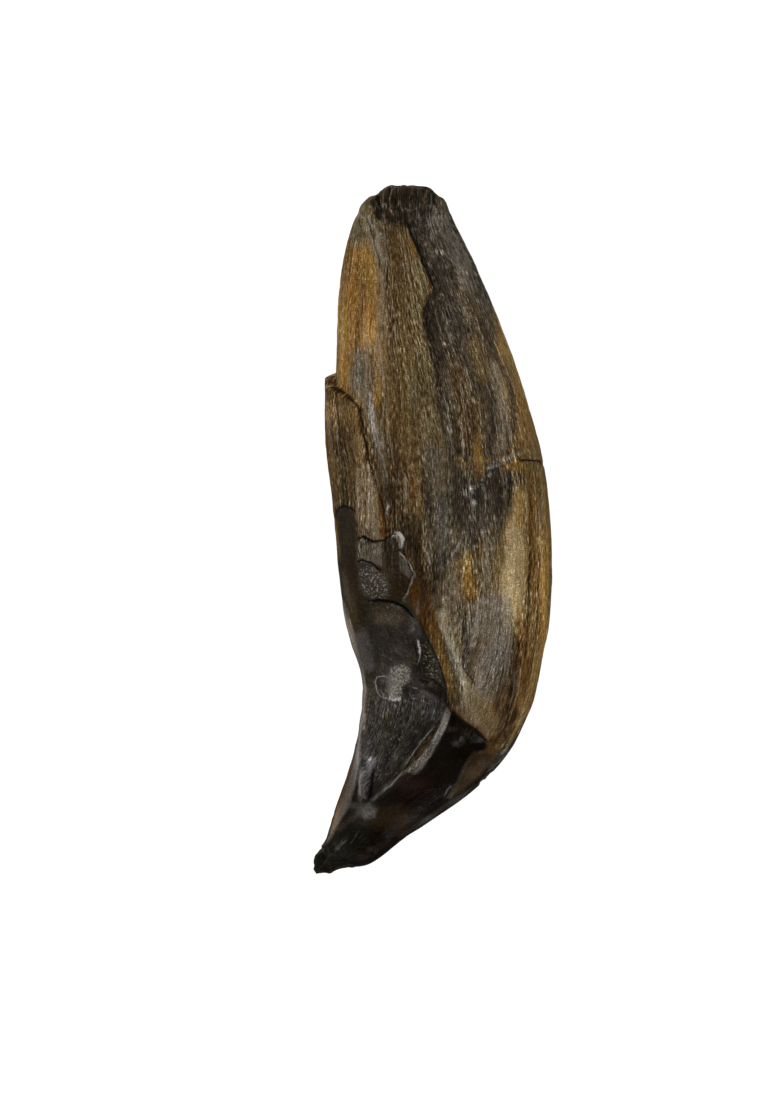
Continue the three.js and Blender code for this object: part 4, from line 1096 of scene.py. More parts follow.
def stain_root_end(skin):
    """The dark, broken cap of the root's end."""
    cap = [(379, 191), (390, 184), (425, 183), (433, 193), (432, 212), (412, 216), (396, 220), (381, 218)]
    skin.fill(CHARCOAL, 0.97, cap, 6, 2, 261, (0.4, 0.6))
    skin.draw(BOG_OAK, 0.8, [(384, 189), (404, 184), (426, 186), (434, 194)], 5, 4)
    skin.fill(CREVICE_AND_SHADOW, 0.95, [(370, 200), (378, 192), (381, 204), (382, 218), (376, 220), (373, 208)], 4)
    skin.fill(RUST, 0.8, [(382, 206), (392, 205), (393, 215), (384, 218)], 5)
    skin.fill(DUSK, 0.8, [(366, 216), (373, 216), (374, 228), (368, 229)], 5)
    skin.fill(SMOKE, 0.6, [(398, 194), (420, 194), (424, 206), (404, 208)], 8, 2, 262, (0.4, 0.6))


def stain_wiry_threads(skin):
    """Pale wiry threads and dark gaps over the root's rough end, its dark side and the bared dentine."""
    rough_end = skin.patch([(340, 176), (450, 176), (462, 236), (430, 232), (386, 228), (340, 240)], 20)
    dark_side = skin.patch([(408, 200), (450, 196), (482, 262), (500, 340), (440, 350), (426, 290)], 16)
    below_neck = [(384, 600), (404, 604), (446, 690), (446, 706), (418, 764), (376, 790), (368, 690)]
    neck_side = skin.patch(below_neck, 10)
    threads = [(281, rough_end, 0.9), (283, 0.5 * dark_side, 0.8), (285, 0.22 * neck_side, 0.8)]
    for seed, mask, size in threads:
        contour = np.abs(skin.mottle(size, seed, 3) + 0.3 * skin.streaks(0.5, 3, seed + 20, 2))
        skin.stain(mask * smooth(0.13, 0.0, contour), DUSK, 0.75)
        gaps = np.abs(skin.mottle(size, seed + 1, 3) + 0.3 * skin.streaks(0.5, 3, seed + 21, 2))
        skin.stain(mask * smooth(0.14, 0.0, gaps), SCORCH, 0.8)


def streaked_root(skin):
    """Amber, grey and umber streaks, as on all of the root that is not seen from above."""
    root = np.tile(linear(OLIVE), (len(skin.u), 1))
    bands = [(AMBER, 0.8), (ASH, 0.75), (UMBER, 0.8), (TAN, 0.5), (PLUM, 0.6)]
    for seed, (colour, strength) in enumerate(bands, 301):
        streak = smooth(0.05, 0.55, skin.streaks(1.4, 16, seed) + 0.25 * skin.mottle(5, seed + 50))
        root = mix(root, linear(colour), (strength * streak)[:, None])
    return root


def stain_far_side(skin):
    """The side the tooth lies on, in the same stains: amber and umber streaks, then black enamel."""
    far = 1 - skin.upper
    root = streaked_root(skin)
    past = past_neck(skin) + 0.25 * skin.mottle(1.6, 31)
    band = np.exp(-(((past + 0.9) / 0.7) ** 2))
    root = mix(root, linear(MOSS), (0.7 * band)[:, None])
    dark = linear(ENAMEL) * (1 + 0.5 * skin.mottle(2.4, 306))[:, None]
    root = mix(root, dark, smooth(-0.12, 0.12, past)[:, None])
    skin.colour = mix(skin.colour, root, far[:, None])


def set_finishes(skin):
    """Where the surface is glossy, how fibrous it is and where it is chalky."""
    gap = crown_line_gap(skin)
    on_crown = mix(smooth(0.2, -0.2, -past_neck(skin)), smooth(2, -2, gap), skin.upper)
    dentine = skin.patch(BARED_DENTINE, 5)
    smooth_dentine = skin.patch([(350, 560), (404, 545), (420, 600), (420, 668), (360, 668)], 8)
    skin.gloss = on_crown * (1 - 0.75 * dentine)
    skin.gloss = np.maximum(skin.gloss, 0.5 * smooth_dentine)
    skin.fibre = 1 - 0.85 * on_crown
    lower_dentine = skin.patch([(366, 690), (446, 700), (444, 725), (418, 770), (372, 802), (362, 790)], 10)
    skin.fibre = np.maximum(skin.fibre, 0.85 * lower_dentine)
    olive_strip = [(404, 592), (416, 575), (438, 598), (450, 650), (454, 690), (440, 670), (425, 630)]
    calmer = [  # how much less fibrous
        (smooth_dentine, 0.55),
        (skin.patch([(506, 500), (522, 492), (528, 560), (520, 612), (506, 604), (502, 560)], 9), 0.4),
        (skin.stroke([(494, 350), (502, 396), (505, 424), (503, 446)], 14, 12), 0.35),
        (skin.patch(olive_strip, 14), 0.4),
        (skin.patch([(452, 690), (500, 684), (508, 740), (484, 742), (452, 716)], 16), 0.45),
        (skin.patch([(388, 430), (455, 440), (462, 520), (450, 600), (412, 600), (388, 520)], 30), 0.1),
        (skin.patch(CAPSULE, 5), 0.8),
    ]
    for mask, amount in calmer:
        skin.fibre = skin.fibre * (1 - amount * mask)
    brightness = np.maximum(skin.colour @ np.array([0.21, 0.72, 0.07]), 1e-3) ** 0.4545
    skin.fibre = skin.fibre * np.clip((0.3 / brightness) ** 1.7, 0.35, 1.2)
    chalky = [  # how chalky
        (skin.patch(SPECKLED_PATCH, 6), 1.1),
        (skin.patch(WORN_FLAKE, 8), 0.8),
        (skin.patch([(418, 640), (426, 640), (436, 660), (443, 684), (424, 680)], 6), 0.75),
        (skin.patch(NECK_NICK, 5), 0.6),
        (skin.patch([(370, 600), (400, 600), (404, 622), (372, 624)], 8), 0.5),
        (skin.stroke([(446, 716), (438, 736), (426, 754), (414, 768)], 8, 4), 0.8),
        (skin.patch(BARED_DENTINE, 6), 0.3),
        (skin.stroke(CHIP_LINE, 8, 6), 0.6),
        (skin.patch([(382, 720), (412, 712), (402, 760), (376, 790)], 10), 0.5),
    ]
    for mask, amount in chalky:
        skin.chalk = np.maximum(skin.chalk, mask * amount)
    skin.chalk = np.maximum(skin.chalk, 0.2 * (1 - on_crown))


# Lighter or darker and cooler or warmer places over the stains, partly their own tone and partly painted
# light and shade: painted highlights along the rims and on the root's dark side, and painted shade on the
# enamel. u, v, reach in u and v, how much lighter in stops, and how much cooler in stops.
TONE_SHIFTS_AND_PAINTED_LIGHT = [
    (543, 600, 5, 60, 0.35, -0.2), (332, 390, 12, 8, -0.6, 0.0), (484, 296, 8, 24, -0.45, 0.2),
    (524, 415, 9, 40, -0.35, 0.35), (533, 455, 8, 14, -0.3, 0.3), (346, 570, 9, 16, -0.5, 0.0),
    (443, 420, 10, 26, 0.25, 0.2), (404, 310, 18, 90, 0.15, 0.1), (524, 560, 14, 90, 0.1, 0.25),
    (543, 500, 9, 40, -0.5, 0.4), (546, 600, 9, 60, -0.45, 0.3), (409, 221, 20, 9, -0.7, 0.0),
    (402, 272, 9, 26, -0.45, -0.2), (391, 228, 8, 8, -0.4, -0.2), (436, 216, 8, 14, 0.5, 0.0),
    (436, 250, 12, 20, 0.5, 0.0), (462, 276, 14, 22, 0.8, -0.1), (482, 312, 14, 26, 0.7, -0.2),
    (350, 205, 8, 12, 0.4, 0.0), (400, 187, 26, 4, 0.7, 0.1), (514, 560, 12, 50, 0.05, -0.15),
    (386, 640, 24, 26, 0.15, 0.0), (433, 325, 7, 18, -0.5, -0.1), (436, 378, 6, 22, -0.5, 0.0),
    (442, 405, 6, 20, -0.3, 0.0), (452, 452, 7, 14, -0.7, 0.2), (500, 350, 9, 26, 0.7, 0.0),
    (505, 395, 7, 30, 0.8, 0.0), (524, 405, 8, 50, 0.4, -0.7), (334, 300, 7, 70, 0.9, 0.4),
    (358, 376, 12, 26, -0.1, 0.8), (372, 412, 6, 16, 0.2, 0.3), (336, 410, 10, 12, 1.1, -0.2),
    (351, 414, 7, 12, 1.0, -0.2), (383, 412, 4, 26, 0.8, 0.2), (412, 396, 5, 20, 0.4, 0.7),
    (420, 430, 12, 10, 0.3, 0.3), (326, 440, 6, 60, 0.2, -0.6), (345, 445, 8, 14, -0.4, -0.1),
    (379, 462, 5, 18, -0.9, -0.2), (388, 492, 8, 24, -1.2, -0.5), (394, 532, 12, 10, -0.8, -0.2),
    (409, 532, 6, 18, -1.0, 0.0), (422, 560, 6, 24, -0.6, 0.0), (330, 490, 6, 40, 0.5, -0.3),
    (478, 497, 6, 7, -0.9, 0.0), (506, 500, 8, 16, -1.0, 0.1), (476, 465, 22, 6, 0.0, 0.3),
    (432, 462, 5, 14, 0.4, 0.4), (436, 500, 8, 12, -0.5, 0.2), (432, 584, 9, 22, -1.2, -0.3),
    (444, 556, 6, 14, -1.0, 0.2), (426, 612, 7, 16, -0.9, -0.7), (412, 594, 6, 8, -0.6, -1.0),
    (536, 500, 7, 26, 0.7, -0.3), (544, 560, 5, 60, 1.0, -0.3), (535, 560, 8, 50, 0.2, -0.5),
    (490, 560, 12, 30, 0.5, 0.2), (467, 556, 9, 24, 0.2, 0.5), (516, 612, 14, 24, 0.6, 0.2),
    (500, 585, 12, 20, 0.6, 0.2), (546, 630, 5, 30, 0.6, 0.0), (522, 645, 6, 26, 0.0, -0.6),
    (439, 650, 5, 22, 1.1, 0.5), (457, 680, 8, 18, 1.1, 0.6), (450, 706, 8, 8, -1.0, -0.4),
    (468, 662, 6, 10, -0.4, 0.0), (500, 655, 9, 14, 0.2, 0.3), (510, 690, 10, 18, -0.6, -0.5),
    (496, 706, 12, 16, -0.6, -1.0), (478, 742, 16, 14, -0.6, -1.0), (462, 756, 12, 7, -1.0, -0.6),
    (463, 728, 10, 8, -0.3, -0.8), (522, 735, 6, 24, 0.8, 1.0), (500, 752, 12, 7, 1.2, 0.3),
    (352, 640, 5, 34, 1.2, 0.1), (362, 720, 8, 60, 1.3, 0.1), (345, 590, 5, 40, 0.7, 0.1),
    (346, 572, 8, 22, 0.0, -0.2), (382, 572, 12, 12, 0.7, 0.0), (366, 622, 10, 18, -0.5, 0.0),
    (398, 640, 10, 20, 0.5, 0.1), (390, 690, 20, 24, 1.1, 0.1), (412, 625, 5, 8, 0.9, 0.0),
    (376, 745, 9, 36, 0.8, 0.2), (436, 676, 9, 12, 0.8, 0.0), (402, 736, 12, 18, -0.8, 0.0),
    (420, 746, 10, 10, -0.4, 0.0), (362, 815, 14, 12, 0.9, 0.0), (334, 815, 8, 26, 0.9, -0.4),
    (350, 790, 5, 18, -0.3, -0.2), (424, 800, 20, 10, -1.2, -1.0), (392, 834, 20, 12, -1.0, -0.9),
    (370, 856, 26, 9, -1.2, -0.8), (330, 868, 22, 5, -0.8, -0.6), (425, 819, 14, 5, 1.2, 0.4),
    (350, 288, 12, 40, -0.4, -0.2), (368, 270, 7, 44, -0.3, 0.0), (356, 228, 10, 8, -0.4, 0.2),
    (408, 198, 22, 7, -0.6, -0.4), (475, 330, 8, 8, -0.5, -0.2), (446, 338, 10, 14, 0.4, 0.0),
    (466, 372, 6, 16, 0.5, 0.1), (418, 390, 6, 24, 0.1, 0.4), (409, 412, 16, 24, -0.3, -0.1),
    (388, 500, 7, 24, -0.4, 0.0), (344, 500, 7, 16, -0.5, 0.0), (364, 536, 16, 12, -0.6, 0.0),
    (410, 545, 5, 16, -0.7, 0.0), (458, 532, 6, 22, -0.5, 0.2), (446, 506, 6, 10, -0.5, 0.2),
    (483, 522, 5, 14, 0.6, 0.2), (469, 490, 8, 8, 0.5, 0.2), (345, 585, 4, 30, 0.4, 0.2),
    (452, 662, 5, 20, 0.9, 0.5), (460, 712, 8, 6, -0.8, -0.4), (513, 676, 8, 22, -0.6, -0.4),
    (512, 714, 6, 20, -0.7, -0.5), (366, 762, 9, 11, 1.0, 0.2), (386, 706, 8, 12, 0.8, 0.1),
    (392, 726, 5, 12, 0.6, 0.0), (461, 740, 8, 9, 1.2, 0.6), (425, 690, 14, 10, 0.5, 0.0),
    (410, 785, 16, 7, 0.9, 0.8), (398, 806, 10, 8, 0.5, 0.6), (368, 823, 10, 6, 0.9, 0.0),
    (341, 846, 7, 6, 0.9, 0.2), (342, 800, 5, 24, -0.5, 0.0), (526, 660, 6, 30, -0.3, -0.4),
    (431, 560, 12, 14, 0.5, 0.3), (447, 595, 10, 14, -0.2, 0.2), (460, 640, 6, 24, 0.2, 0.4),
    (430, 440, 10, 22, 0.1, 0.3), (497, 465, 12, 6, 0.0, 0.1), (440, 520, 22, 26, 0.0, 0.3),
    (508, 610, 6, 22, 0.2, 0.0), (353, 612, 8, 16, 0.0, -0.6), (532, 520, 8, 50, -0.3, -0.2),
    (508, 478, 8, 8, 0.3, 0.2), (395, 465, 7, 40, 0.0, -0.2), (452, 720, 5, 14, -0.6, -0.2),
    (455, 796, 16, 8, 1.2, 0.2), (480, 776, 14, 7, 1.0, 0.2),
]


def shift_tones_and_paint_edge_shade(skin):
    """Lighter, darker and cooler places over the stains, partly painted light and shade, and painted shade
    darkening both edges.
    """
    for u, v, wide, tall, lighter, cooler in TONE_SHIFTS_AND_PAINTED_LIGHT:
        far = ((skin.u - u) / wide) ** 2 + ((skin.v - v) / tall) ** 2
        near = np.flatnonzero(far < 6)
        share = np.exp(-far[near] * (1 + 0.4 * skin.frayed[near])) * skin.upper[near]
        skin.colour[near] *= 2 ** (share[:, None] * (lighter + cooler * np.array([-0.4, 0.0, 0.6])))
    # painted shade: both edges darkened, the right one more
    left, right = np.maximum(-skin.across, 0), np.maximum(skin.across, 0)
    edge = 1 - 0.15 * smooth(0.9, 1.0, left) - 0.3 * smooth(0.86, 1.0, right)
    skin.colour *= mix(1.0, edge, skin.upper)[:, None]


def drag_flank_stains(skin):
    """On its flanks the tooth's stains run on along the fibres, so that none of them ends on a hard line."""
    kept = np.clip(1.4 * skin.spot((328, 381), 16) + 1.2 * skin.spot((346, 511), 13), 0, 1)
    reach = smooth(0.6, 0.05, skin.rise) * skin.upper * (1 - kept)
    rings_on = reach * (26 * skin.streaks(0.5, 8, 297) + 8 * skin.mottle(0.5, 298, 2))
    ring, side = np.divmod(np.arange(len(skin.u)), RING_STEPS)
    source = np.clip(np.round(ring + rings_on), 0, RINGS).astype(int) * RING_STEPS + side
    skin.colour = skin.colour[source]


def weather_flanks(skin):
    """Below its widest line the tooth is browner and more even than the strip seen from above."""
    gap = crown_line_gap(skin)
    low = smooth(0.12, -0.25, skin.rise + 0.12 * skin.mottle(1.2, 291)) * skin.upper
    on_crown = smooth(14, -14, gap + 10 * skin.mottle(1.5, 292))
    shown = smooth(-0.7, 0.1, skin.streaks(0.8, 5, 293))
    skin.stain(low * on_crown * shown, SMOKE, 0.9)
    notch = np.clip(1.5 * skin.spot((327, 380), 9), 0, 1)
    cover = low * (1 - on_crown) * (1 - notch) * smooth(-0.9, 0.0, skin.streaks(1.1, 14, 294))
    skin.colour = mix(skin.colour, streaked_root(skin), 0.9 * cover[:, None])


def finish_fibres(skin):
    """Colour that follows the fibres over everything that is stained, strongest on the root."""
    tone = 0.24 * skin.streaks(0.5, 9, 401)
    dentine = skin.patch(BARED_DENTINE, 6)
    clouds = 0.45 * skin.mottle(1.3, 402) + 0.5 * skin.mottle(0.45, 403, 2)
    skin.colour = skin.colour * 2 ** (dentine * clouds)[:, None]
    skin.colour = skin.colour * (1 + tone * mix(0.3, 1.0, np.clip(skin.fibre, 0, 1)))[:, None]
    yellowed = np.clip(skin.fibre, 0, 1) * (1 - dentine)
    skin.colour = skin.colour * mix(1.0, np.array([1.02, 0.98, 0.87]), yellowed[:, None])


def stain(skin):
    for step in (stain_upper_root, stain_dark_root, stain_right_edge, stain_lower_root, stain_outer_layer,
                 stain_root_end, stain_crown, stain_wiry_threads, stain_rim, stain_flakes, stain_specks,
                 drag_flank_stains, stain_far_side, set_finishes, shift_tones_and_paint_edge_shade, weather_flanks, trace_lines,
                 finish_fibres):
        step(skin)


# ---------------------------------------- the mesh


def skin_places(skin):
    """The raised skin fitted to the solid's own box, its underside rubbed flat, in metres."""
    places = skin.plain + skin.outward * skin.raised[:, None]
    low, high = (np.array(corner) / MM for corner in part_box("tooth"))
    least, most = places.min(0), places.max(0)
    full = high - low + np.array([0, 0, WORN_DEPTH])
    fitted = (places - least) / (most - least) * full + low - np.array([0, 0, WORN_DEPTH])
    fitted[:, 2] = np.maximum(fitted[:, 2], low[2])
    return fitted * MM


def skin_faces():
    """Quads between the rings, with a fan at each pole: vertex 0 at the root, and the last one at the tip."""
    step = np.arange(RING_STEPS)
    after = (step + 1) % RING_STEPS
    faces = []
    for ring in range(RINGS - 2):
        a = 1 + ring * RING_STEPS
        b = a + RING_STEPS
        faces += np.column_stack([a + step, b + step, b + after, a + after]).tolist()
    last = 1 + (RINGS - 1) * RING_STEPS
    first_ring, last_ring = 1, last - RING_STEPS
    faces += [[0, first_ring + i, first_ring + j] for i, j in zip(step, after)]
    faces += [[last, last_ring + j, last_ring + i] for i, j in zip(step, after)]
    return faces


def pole_to_pole(values):
    """The ring grid without the repeated points at its two poles."""
    return np.concatenate([values[:1], values[RING_STEPS:-RING_STEPS], values[-1:]])


def add_attribute(mesh, name, kind, values):
    attribute = mesh.attributes.new(name, kind, "POINT")
    key = {"FLOAT": "value", "FLOAT_VECTOR": "vector", "FLOAT_COLOR": "color"}[kind]
    attribute.data.foreach_set(key, np.ascontiguousarray(values, np.float32).ravel())


def make_tooth(skin, materials):
    mesh = bpy.data.meshes.new("fossil_tooth")
    places = pole_to_pole(skin_places(skin))
    mesh.from_pydata(places.tolist(), [], skin_faces())
    mesh.update()
    colour = np.column_stack([np.clip(skin.colour, 0.0, 1.0), np.ones(len(skin.u))])
    add_attribute(mesh, "stain", "FLOAT_COLOR", pole_to_pole(colour))
    for name in ("grain", "dark_lines", "pale_lines"):
        add_attribute(mesh, name, "FLOAT_VECTOR", pole_to_pole(getattr(skin, name)))
    for name in ("gloss", "fibre", "chalk"):
        add_attribute(mesh, name, "FLOAT", pole_to_pole(getattr(skin, name)))
    for material in materials:
        mesh.materials.append(material)
    crown = pole_to_pole(skin.gloss * 0.9 + (1 - skin.fibre) * 0.4) > 0.3
    corner_start = np.zeros(len(mesh.polygons), np.int32)
    mesh.polygons.foreach_get("loop_start", corner_start)
    corner_vertex = np.zeros(len(mesh.loops), np.int32)
    mesh.loops.foreach_get("vertex_index", corner_vertex)
    mesh.polygons.foreach_set("material_index", crown[corner_vertex[corner_start]].astype(np.int32))
    mesh.polygons.foreach_set("use_smooth", np.ones(len(mesh.polygons), bool))
    mesh.set_sharp_from_angle(angle=math.radians(50))
    tooth = bpy.data.objects.new("fossil_tooth", mesh)
    bpy.context.scene.collection.objects.link(tooth)
    return tooth


# ---------------------------------------- shader groups shared by the materials


FLOAT = "NodeSocketFloat"
VECTOR = "NodeSocketVector"
COLOUR = "NodeSocketColor"


def new_group(name, inputs, outputs):
    """A node group with named inputs of (name, kind, value) and outputs of (name, kind)."""
    tree = bpy.data.node_groups.new(name, "ShaderNodeTree")
    for label, kind, value in inputs:
        socket = tree.interface.new_socket(name=label, in_out="INPUT", socket_type=kind)
        if value is not None:
            socket.default_value = value
    for label, kind in outputs:
        tree.interface.new_socket(name=label, in_out="OUTPUT", socket_type=kind)
    return tree, tree.nodes.new("NodeGroupInput"), tree.nodes.new("NodeGroupOutput")


def join(tree, source, target):
    tree.links.new(source, target)


def maths(tree, operation, first, second=None, third=None, clamp=False):
    node = tree.nodes.new("ShaderNodeMath")
    node.operation = operation
    node.use_clamp = clamp
    for socket, value in zip(node.inputs, (first, second, third)):
        if value is None:
            continue
        if isinstance(value, (int, float)):
            socket.default_value = value
        else:
            join(tree, value, socket)
    return node.outputs[0]


def times(tree, first, second, clamp=False):
    return maths(tree, "MULTIPLY", first, second, clamp=clamp)


def cells_per_metre(tree, size):
    """How fine a noise is whose cells are `size` millimetres."""
    return maths(tree, "DIVIDE", 1.0 / MM, size)


def remap(tree, value, low, high, new_low=0.0, new_high=1.0):
    node = tree.nodes.new("ShaderNodeMapRange")
    node.interpolation_type = "SMOOTHSTEP"
    join(tree, value, node.inputs["Value"])
    for label, number in (("From Min", low), ("From Max", high), ("To Min", new_low), ("To Max", new_high)):
        node.inputs[label].default_value = number
    return node.outputs["Result"]


def noise(tree, place, scale, detail=3.0, roughness=0.55):
    node = tree.nodes.new("ShaderNodeTexNoise")
    join(tree, place, node.inputs["Vector"])
    node.inputs["Detail"].default_value = detail
    node.inputs["Roughness"].default_value = roughness
    if isinstance(scale, (int, float)):
        node.inputs["Scale"].default_value = scale
    else:
        join(tree, scale, node.inputs["Scale"])
    return node.outputs["Fac"]


def fibre_grain_group():
    """Short fine lines along the fibres, with pale threads and dark grooves among them, and their height."""
    tree, given, made = new_group(
        "fibre_grain",
        [("Grain", VECTOR, None), ("Width", FLOAT, 0.15), ("Length", FLOAT, 4.0)],
        [("Swing", FLOAT), ("Thread", FLOAT), ("Groove", FLOAT),
         ("Drift", FLOAT), ("Height", FLOAT)],
    )
    split = tree.nodes.new("ShaderNodeSeparateXYZ")
    join(tree, given.outputs["Grain"], split.inputs[0])
    across = maths(tree, "DIVIDE", split.outputs["X"], given.outputs["Width"])
    along = maths(tree, "DIVIDE", split.outputs["Y"], given.outputs["Width"])
    along = maths(tree, "DIVIDE", along, given.outputs["Length"])

    def place_at(stretch, shift):
        place = tree.nodes.new("ShaderNodeCombineXYZ")
        deep = maths(tree, "ADD", split.outputs["Z"], shift)
        for value, socket in zip((across, times(tree, along, stretch), deep), place.inputs):
            join(tree, value, socket)
        return place.outputs[0]

    def thin_line(value, width):
        off = maths(tree, "ABSOLUTE", maths(tree, "SUBTRACT", value, 0.5))
        return remap(tree, off, 0.0, width, 1.0, 0.0)

    lines = noise(tree, place_at(1.0, 0.0), 1.0, 1.0, 0.5)
    strands = noise(tree, place_at(0.35, 11.0), 0.36, 1.0, 0.5)
    some = remap(tree, strands, 0.4, 0.62, 0.25, 1.0)
    few = remap(tree, strands, 0.38, 0.6, 1.0, 0.25)
    thread = times(tree, thin_line(noise(tree, place_at(0.5, 23.0), 0.5, 0.0), 0.1), some)
    groove = times(tree, thin_line(noise(tree, place_at(0.3, 37.0), 0.42, 0.0), 0.1), few)
    drift = noise(tree, place_at(0.25, 51.0), 0.16, 1.0, 0.5)
    vary = remap(tree, noise(tree, place_at(0.4, 67.0), 0.1, 1.0, 0.5), 0.36, 0.62, 0.6, 1.15)
    both = maths(tree, "ADD", times(tree, lines, 0.72), times(tree, strands, 0.28))
    centred = times(tree, maths(tree, "SUBTRACT", both, 0.5), 6.0)
    join(tree, times(tree, maths(tree, "SUBTRACT", drift, 0.5), 3.0), made.inputs["Drift"])
    join(tree, times(tree, centred, vary), made.inputs["Swing"])
    join(tree, times(tree, thread, vary), made.inputs["Thread"])
    join(tree, times(tree, groove, vary), made.inputs["Groove"])
    height = maths(tree, "MULTIPLY_ADD", thread, 0.2, maths(tree, "MULTIPLY_ADD", groove, -0.3, both))
    join(tree, height, made.inputs["Height"])
    return tree


def chalk_specks_group():
    """Small pale mineral specks, more of them where Amount is high."""
    tree, given, made = new_group(
        "chalk_specks",
        [("Place", VECTOR, None), ("Amount", FLOAT, 0.3), ("Size", FLOAT, 0.25)],
        [("Specks", FLOAT)],
    )
    grains = noise(tree, given.outputs["Place"], cells_per_metre(tree, given.outputs["Size"]), 2.0, 0.6)
    level = maths(tree, "SUBTRACT", 0.76, times(tree, given.outputs["Amount"], 0.26))
    above = maths(tree, "SUBTRACT", grains, level)
    join(tree, times(tree, above, 12.0, clamp=True), made.inputs["Specks"])
    return tree


def mineral_mottle_group():
    """Blotches and grit left by minerals: a swing of tone about 0, and a height."""
    tree, given, made = new_group(
        "mineral_mottle",
        [("Place", VECTOR, None), ("Size", FLOAT, 1.0), ("Grit", FLOAT, 0.16)],
        [("Swing", FLOAT), ("Height", FLOAT)],
    )
    blotches = noise(tree, given.outputs["Place"], cells_per_metre(tree, given.outputs["Size"]), 3.0, 0.6)
    grit = noise(tree, given.outputs["Place"], cells_per_metre(tree, given.outputs["Grit"]), 1.0, 0.5)
    both = maths(tree, "ADD", times(tree, blotches, 0.2), times(tree, grit, 0.8))
    join(tree, times(tree, maths(tree, "SUBTRACT", both, 0.5), 6.0), made.inputs["Swing"])
    join(tree, both, made.inputs["Height"])
    return tree


def crisp_line_group():
    """A thin line with slightly broken edges, from the distance off it, its width and its strength."""
    tree, given, made = new_group(
        "crisp_line",
        [("Line", VECTOR, None), ("Place", VECTOR, None), ("Fray", FLOAT, 0.6)],
        [("Mask", FLOAT)],
    )
    split = tree.nodes.new("ShaderNodeSeparateXYZ")
    join(tree, given.outputs["Line"], split.inputs[0])
    fray = maths(tree, "SUBTRACT", noise(tree, given.outputs["Place"], 7000.0, 2.0, 0.6), 0.5)
    off = maths(tree, "MULTIPLY_ADD", fray, times(tree, given.outputs["Fray"], 4.0), split.outputs["X"])
    past = maths(tree, "MULTIPLY_ADD", split.outputs["Y"], -0.5, maths(tree, "ABSOLUTE", off))
    join(tree, times(tree, remap(tree, past, -0.45, 0.45, 1.0, 0.0), split.outputs["Z"]),
         made.inputs["Mask"])
    return tree


def tone_and_sheen_group():
    """A stain made lighter or darker by Swing, in stops: pale places fade to grey as a painted sheen, deep
    ones hold colour.
    """
    tree, given, made = new_group(
        "tone_and_sheen",
        [("Stain", COLOUR, None), ("Swing", FLOAT, 0.0), ("Exposure", FLOAT, 0.0),
         ("Fading", FLOAT, 0.25)],
        [("Colour", COLOUR)],
    )
    fade = times(tree, given.outputs["Swing"], given.outputs["Fading"])
    faded = tree.nodes.new("ShaderNodeGamma")
    join(tree, given.outputs["Stain"], faded.inputs["Color"])
    join(tree, maths(tree, "MAXIMUM", maths(tree, "SUBTRACT", 1.0, fade), 0.3), faded.inputs["Gamma"])
    grey = tree.nodes.new("ShaderNodeRGBToBW")
    join(tree, given.outputs["Stain"], grey.inputs[0])
    kept = maths(tree, "POWER", maths(tree, "MAXIMUM", grey.outputs[0], 0.001), fade)
    lit = maths(tree, "POWER", 2.0, maths(tree, "ADD", given.outputs["Swing"], given.outputs["Exposure"]))
    tone = tree.nodes.new("ShaderNodeCombineXYZ")
    for socket in tone.inputs:
        join(tree, times(tree, kept, lit), socket)
    join(tree, blend_colour(tree, "MULTIPLY", 1.0, faded.outputs[0], tone.outputs[0]), made.inputs["Colour"])
    return tree


def attribute_node(tree, name):
    node = tree.nodes.new("ShaderNodeAttribute")
    node.attribute_name = name
    return node


def place_group(tree, group, links, values):
    node = tree.nodes.new("ShaderNodeGroup")
    node.node_tree = group
    for label, source in links.items():
        join(tree, source, node.inputs[label])
    for label, value in values.items():
        node.inputs[label].default_value = value
    return node


def blend_colour(tree, mode, share, first, second):
    node = tree.nodes.new("ShaderNodeMix")
    node.data_type = "RGBA"
    node.blend_type = mode
    for socket, value in zip((node.inputs[0], node.inputs[6], node.inputs[7]), (share, first, second)):
        if isinstance(value, (int, float)):
            socket.default_value = value
        elif isinstance(value, tuple):
            socket.default_value = (*linear(value), 1.0)
        else:
            join(tree, value, socket)
    return node.outputs[2]


